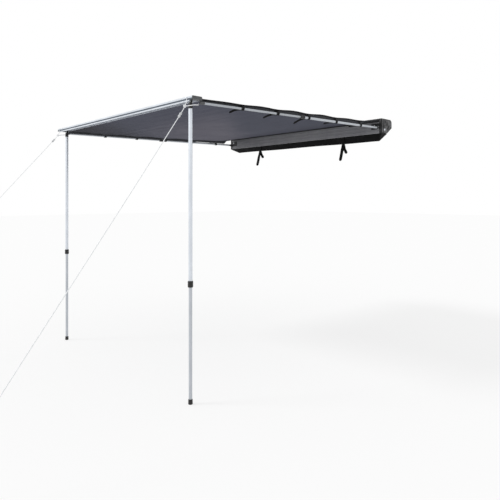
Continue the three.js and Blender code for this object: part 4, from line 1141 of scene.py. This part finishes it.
def rope_ring(side):
    """The wire eye on the rail: a round wire bent into a ring."""
    radius, wire = 0.005, 0.0019
    turn = np.linspace(0, math.tau, 41)
    ring = radius * np.stack([0 * turn, np.cos(turn), np.sin(turn)], -1)
    (points, faces), _ = closed_cord(ring, wire, 14)
    return points + [side * EYE_X, RAIL_FRONT - radius, RAIL_HEM_Z], faces


def build_rail():
    """Front rail with its end caps, the wire eyes and the screws in its face."""
    softened("rail_beam", "front_rail", "rail_aluminium", 0.0005)
    for word, side in SIDES.items():
        softened(f"rail_end_{word}", f"rail_cap_{word}", "moulded_grey", 0.0009, 3)
        mesh_piece(f"wire_eye_{word}", rope_ring(side), "zinc_steel", None, body="rail", smooth=60.0)
        screws = [
            placed(pan_head(0.0042, 0.0024), (side * x, RAIL_FRONT + 0.0002, z), (0, -1, 0))
            for x, z in ((1.037, -0.0435), (0.989, -0.0435), (1.062, -0.021), (1.012, -0.021))
        ]
        shell = joined(*screws)
        mesh_piece(f"rail_screws_{word}", shell, "zinc_steel", None, body="rail", smooth=30.0)


def build_leg(word):
    """One folding leg with its fork, pin, head, tubes, collar and foot."""
    x, y, collar_z, inner_top = LEG[word]
    softened(f"leg_fork_{word}", f"leg_clevis_{word}", "zinc_steel", 0.0004)
    softened(f"leg_hinge_pin_{word}", f"leg_pivot_pin_{word}", "zinc_steel", 0.0004)
    softened(f"leg_head_{word}", f"leg_knuckle_{word}", "moulded_black", 0.0008, 3)
    head = turned(filleted([
        (0.0141, -0.0949), (0.0154, -0.0949), (0.0154, -0.0915), (0.0150, -0.0905), (0.0150, -0.0815),
        (0.0154, -0.0805), (0.0154, -0.0775), (0.0150, -0.0765), (0.0141, -0.0765), (0.0141, -0.0949),
    ], 0.0004, 2), 56)
    grip = LEG_INNER + 0.0004
    foot = turned(filleted([
        (0, 0.0), (0.0125, 0.0), (0.0160, 0.0028), (0.0160, 0.0060), (0.0150, 0.0070), (0.0150, 0.0085),
        (0.0160, 0.0095), (0.0160, 0.0120), (0.0150, 0.0130), (0.0150, 0.0145), (0.0158, 0.0155),
        (0.0154, 0.0330), (0.0146, 0.0360), (grip, 0.0360), (grip, 0.0110), (0, 0.0110),
    ], 0.0007, 2), 64)
    outer = tube(LEG_TUBE, 0.0011, collar_z - 0.008, -0.0953, 64)
    ring = flipped(collar(0.019, LEG_TUBE + 0.0005, LEG_INNER + 0.0005, 0.045, 0.0308), 0.045)
    inner = tube(LEG_INNER, 0.0013, GROUND + 0.0113, inner_top, 56)
    head = placed(head, (x, y, 0))
    mesh_piece(f"leg_head_band_{word}", head, "moulded_black", None, f"leg_{word}")
    for name, node, shell, z, finish, slot in (
        ("leg_tube", "leg_outer_tube", outer, 0, "tube_aluminium", "aluminium"),
        ("leg_lock", "leg_collar", ring, collar_z - 0.0225, "moulded_black", "black_plastic"),
        ("leg_slide_tube", "leg_inner_tube", inner, 0, "inner_aluminium", "aluminium"),
        ("leg_shoe", "leg_foot", foot, GROUND, "moulded_black", "black_plastic"),
    ):
        mesh_piece(f"{name}_{word}", placed(shell, (x, y, z)), finish, f"{node}_{word}")


# Guy ropes


def build_rope(word, ropes):
    """A guy rope along its route, with its tensioner, the knot at its eye, the strand that goes on from
    the knot to the rail's rear edge, and its ground peg."""
    route = smooth_route(ROPE_ROUTES[word], 241)
    radius = ropes.rope_diameter / 2
    along = lengths_along(route)
    shell, stored = rope_shell(route, radius)
    rope = mesh_piece(
        f"guy_line_{word}", shell, "white_rope", f"guy_rope_{word}", smooth=60.0, stored=stored,
    )
    at = TENSIONER_SHARE[word] * along[-1]
    centre, ahead = line_at([at, at + 0.01], along, route)
    runner = turned(filleted([
        (0.0034, -0.017), (0.0082, -0.017), (0.0090, -0.0155), (0.0090, -0.0105), (0.0075, -0.0060),
        (0.0065, 0.0), (0.0075, 0.0060), (0.0090, 0.0105), (0.0090, 0.0155), (0.0082, 0.017),
        (0.0034, 0.017), (0.0034, -0.017),
    ], 0.0009, 3), 48)
    runner = placed(runner, centre, ahead - centre)
    tensioner = mesh_piece(
        f"line_runner_{word}", runner, "moulded_pale", f"rope_tensioner_{word}",
    )
    knot = rope_knot(word, route)
    strand = second_strand(word, route, radius)
    ground_peg(word, route[-1])


def rope_knot(word, route):
    """Knot below the eye: a cord that winds round a ring as a trefoil does, so that it passes over and
    under itself, drawn close to the rope."""
    turn = np.linspace(0, math.tau, 97)
    big, small = 0.0060, 0.0034
    far = big + small * np.cos(3 * turn)
    ring = np.stack([far * np.cos(2 * turn), far * np.sin(2 * turn), small * 1.5 * np.sin(3 * turn)], -1)
    shell, stored = closed_cord(ring, 0.0028, 10)
    start, end = route[39], route[46]
    shell = placed(shell, (start + end) / 2, end - start)
    return mesh_piece(
        f"line_knot_{word}", shell, "white_rope", None, body="rail", smooth=60.0, stored=stored,
    )


def second_strand(word, route, radius):
    """The strand that goes from the knot past the leg's head to the rail's rear edge: a round cord on a
    smooth curve, with a small turn at its end."""
    after = [
        (1.098, -2.380, -0.0830), (1.110, -2.366, -0.0805), (1.119, -2.350, -0.0770),
        (1.123, -2.328, -0.0725), (1.121, -2.304, -0.0700), (1.111, -2.288, -0.0650),
        (1.107, -2.284, -0.0570),
    ]
    path = smooth_route([route[43], *[(SIDES[word] * x, y, z) for x, y, z in after]], 60)
    shell, stored = rope_shell(path, 1.2 * radius)
    return mesh_piece(
        f"line_strand_{word}", shell, "white_rope", None, body="rail", smooth=60.0, stored=stored,
    )


def ground_peg(word, end):
    """Steel peg: a round bar along a smooth curve, pointed below and hooked above."""
    x, y, _ = end
    rope, peg, gap = 0.0026, 0.004, 0.0003
    shaft = y - 0.8 * rope - peg - gap
    route = ((0.055, -0.190), (0.0275, -0.095), (0, 0), (0, 0.026), (-0.009, 0.035), (-0.018, 0.026))
    path = smooth_route([(x, shaft + back, GROUND + up) for back, up in route], 90)
    along = shares_along(path)
    size = peg * (0.12 + 0.88 * ease(along / 0.12)) * (1 - 0.35 * ease((along - 0.985) / 0.015))
    shell, _ = swept(path, ALONG_X, round_section(1.0, 20), size, evenly=True)
    mesh_piece(f"line_peg_{word}", shell, "zinc_steel", f"ground_peg_{word}", smooth=50.0)


# Stage


def lit_white(name, colour, keep):
    """A backdrop finish: white to the camera and to reflections, the plain colour to the light that
    falls on it, and keep of that light still seen, so that shadows show."""
    finish = Finish(name, colour)
    glow = finish.node("ShaderNodeEmission", None, {"Color": (1, 1, 1), "Strength": 1.0})
    diffuse = finish.node("ShaderNodeBsdfDiffuse", None, {"Color": colour})
    mixed = finish.node("ShaderNodeMixShader", None, {0: finish.seen() * (1 - keep), 1: diffuse, 2: glow})
    finish.put(finish.tree.nodes["Material Output"].inputs["Surface"], mixed)
    finish.tree.nodes.remove(finish.shader)
    return finish.material


def build_stage(stage):
    """White floor, light from all sides, a soft lamp like the sun, and the camera."""
    scene = bpy.context.scene
    scene.view_settings.view_transform = "Standard"
    mesh = bpy.data.meshes.new("floor")
    corners = [(x * FLOOR_HALF, y * FLOOR_HALF, GROUND) for x, y in ((-1, -1), (1, -1), (1, 1), (-1, 1))]
    mesh.from_pydata(corners, [], [(0, 1, 2, 3)])
    mesh.materials.append(lit_white("floor_white", stage.floor_colour, stage.shadow_share))
    floor = bpy.data.objects.new("floor", mesh)
    scene.collection.objects.link(floor)

    scene.world = bpy.data.worlds.new("studio")
    scene.world.use_nodes = True
    nodes = Nodes(scene.world.node_tree)
    inputs = nodes.tree.nodes["Background"].inputs
    nodes.put(inputs["Color"], (1, 1, 1))
    shares = {"Value": nodes.seen(), "To Min": stage.fill_strength, "To Max": 1.0}
    nodes.put(inputs["Strength"], nodes.node("ShaderNodeMapRange", None, shares))

    lamp = bpy.data.lights.new("key", "SUN")
    lamp.energy = stage.key_strength
    lamp.angle = math.radians(14)
    key = bpy.data.objects.new("key", lamp)
    key.rotation_euler = (math.radians(48), 0, math.radians(-38))
    scene.collection.objects.link(key)

    data = bpy.data.cameras.new("camera")
    data.lens = stage.lens
    data.sensor_width = 36.0
    data.shift_y = CAMERA_SHIFT
    camera = bpy.data.objects.new("camera", data)
    camera.location = CAMERA_PLACE
    camera.rotation_euler = (math.pi / 2, 0, CAMERA_HEADING)
    scene.collection.objects.link(camera)
    scene.camera = camera


# Settings, operators and the panel


def colour_property(name, description, red, green, blue):
    """A colour, whose default is given as it looks on screen, 0 to 255."""
    return FloatVectorProperty(
        name=name, description=description, subtype="COLOR", size=3, min=0, max=1,
        default=rgb(red, green, blue),
    )


def length_property(name, description, default, low, high):
    """A short length in metres."""
    return FloatProperty(
        name=name, description=description, default=default, min=low, max=high,
        subtype="DISTANCE", unit="LENGTH", precision=4,
    )


class AwningCloth(bpy.types.PropertyGroup):
    """Colours and relief of the cloth pieces."""

    canopy_colour: colour_property("Canopy", "Colour of the canopy's cloth", 80, 82, 94)
    painted_shade_colour: colour_property("Dull canopy", "Colour of the canopy's front left corner", 51, 50, 53)
    painted_light_colour: colour_property("Pale canopy", "Colour of the paler strip across the canopy", 101, 99, 109)
    hem_colour: colour_property("Hem", "Colour of the canopy's hems", 44, 44, 47)
    tape_colour: colour_property("Tape", "Colour of the tape along the canopy's sides", 76, 77, 81)
    webbing_colour: colour_property("Webbing", "Colour of the straps", 13, 13, 14)
    bag_colour: colour_property("Bag", "Colour of the case's cover and flap", 17, 17, 18)
    cap_colour: colour_property("End caps", "Colour of the case's end caps", 80, 80, 81)
    wrinkle_depth: length_property("Wrinkles", "Height of the canopy's small wrinkles", 0.0046, 0, 0.01)
    weave_pitch: length_property("Weave", "Distance between the canopy's threads", 0.0007, 0.0002, 0.01)


class AwningMetal(bpy.types.PropertyGroup):
    """Colours of the metal and moulded pieces."""

    aluminium_colour: colour_property("Aluminium", "Colour of the tubes and the rail", 214, 219, 226)
    board_colour: colour_property("Board", "Colour of the back board", 146, 146, 150)
    plastic_colour: colour_property("Plastic", "Colour of the collars, feet and knuckles", 26, 26, 27)


class AwningRopes(bpy.types.PropertyGroup):
    """Size and colour of the guy ropes."""

    rope_colour: colour_property("Rope", "Colour of the guy ropes", 250, 252, 254)
    rope_diameter: length_property("Diameter", "Diameter of the guy ropes", 0.0052, 0.002, 0.01)


class AwningStage(bpy.types.PropertyGroup):
    """Camera, floor and light."""

    lens: FloatProperty(
        name="Lens", description="Focal length of the camera", default=35.913, min=10, max=200, unit="CAMERA",
    )
    floor_colour: colour_property("Floor", "Colour of the floor", 246, 246, 246)
    shadow_share: FloatProperty(
        name="Shadow", description="Share of the floor's light that shows its shadows", default=0.3,
        min=0, max=1, subtype="FACTOR",
    )
    fill_strength: FloatProperty(
        name="Fill", description="Strength of the light from all sides", default=0.72, min=0, max=5,
    )
    key_strength: FloatProperty(
        name="Key", description="Strength of the sun-like lamp", default=1.3, min=0, max=20,
    )


class AWNING_OT_canopy(bpy.types.Operator):
    """Builds the canopy's cloth"""

    bl_idname = "awning.canopy"
    bl_label = "Canopy"

    def execute(self, context):
        build_canopy(context.scene.awning_cloth)
        return {"FINISHED"}


class AWNING_OT_edge_straps(bpy.types.Operator):
    """Builds the ten straps that tie the canopy's hems to the arms"""

    bl_idname = "awning.edge_straps"
    bl_label = "Edge Straps"

    def execute(self, context):
        build_edge_straps()
        return {"FINISHED"}


class AWNING_OT_case(bpy.types.Operator):
    """Builds the board, end caps, cover, flap, straps and rack brackets"""

    bl_idname = "awning.case"
    bl_label = "Case"

    def execute(self, context):
        build_case()
        return {"FINISHED"}


class AWNING_OT_arms(bpy.types.Operator):
    """Builds both swing arms with their brackets, collars and ends"""

    bl_idname = "awning.arms"
    bl_label = "Arms"

    def execute(self, context):
        for word in SIDES:
            build_arm(word)
        return {"FINISHED"}


class AWNING_OT_rail(bpy.types.Operator):
    """Builds the front rail with its end caps, eyes and screws"""

    bl_idname = "awning.rail"
    bl_label = "Front Rail"

    def execute(self, context):
        build_rail()
        return {"FINISHED"}


class AWNING_OT_legs(bpy.types.Operator):
    """Builds both folding legs with their collars and feet"""

    bl_idname = "awning.legs"
    bl_label = "Legs"

    def execute(self, context):
        for word in SIDES:
            build_leg(word)
        return {"FINISHED"}


class AWNING_OT_guy_ropes(bpy.types.Operator):
    """Builds both guy ropes with their tensioners, knots and pegs"""

    bl_idname = "awning.guy_ropes"
    bl_label = "Guy Ropes"

    def execute(self, context):
        for word in SIDES:
            build_rope(word, context.scene.awning_ropes)
        return {"FINISHED"}


class AWNING_OT_stage(bpy.types.Operator):
    """Builds the floor, the light and the camera"""

    bl_idname = "awning.stage"
    bl_label = "Stage"

    def execute(self, context):
        build_stage(context.scene.awning_stage)
        return {"FINISHED"}


class AWNING_PT_pieces(bpy.types.Panel):
    """Lists the awning's settings and pieces"""

    bl_label = "Awning"
    bl_idname = "AWNING_PT_pieces"
    bl_space_type = "VIEW_3D"
    bl_region_type = "UI"
    bl_category = "Awning"

    def draw(self, context):
        scene = context.scene
        for group in (scene.awning_cloth, scene.awning_metal, scene.awning_ropes, scene.awning_stage):
            box = self.layout.box()
            for name in group.__annotations__:
                box.prop(group, name)
        column = self.layout.column(align=True)
        for operator in OPERATORS:
            column.operator(operator.bl_idname)


GROUPS = {
    "awning_cloth": AwningCloth,
    "awning_metal": AwningMetal,
    "awning_ropes": AwningRopes,
    "awning_stage": AwningStage,
}
OPERATORS = (
    AWNING_OT_canopy,
    AWNING_OT_edge_straps,
    AWNING_OT_case,
    AWNING_OT_arms,
    AWNING_OT_rail,
    AWNING_OT_legs,
    AWNING_OT_guy_ropes,
    AWNING_OT_stage,
)


def register():
    """Registers the classes, and hangs each group of settings on the scene."""
    for one in (*GROUPS.values(), *OPERATORS, AWNING_PT_pieces):
        bpy.utils.register_class(one)
    for name, group in GROUPS.items():
        setattr(bpy.types.Scene, name, PointerProperty(type=group))


def unregister():
    """Takes back what register did, in the opposite order."""
    for name in GROUPS:
        delattr(bpy.types.Scene, name)
    for one in (AWNING_PT_pieces, *reversed(OPERATORS), *reversed(GROUPS.values())):
        bpy.utils.unregister_class(one)


def main():
    """Builds every piece and the stage."""
    register()
    bpy.ops.awning.guy_ropes()
    bpy.ops.awning.canopy()
    bpy.ops.awning.edge_straps()
    bpy.ops.awning.case()
    bpy.ops.awning.arms()
    bpy.ops.awning.rail()
    bpy.ops.awning.legs()
    bpy.ops.awning.stage()


if __name__ == "__main__":
    main()
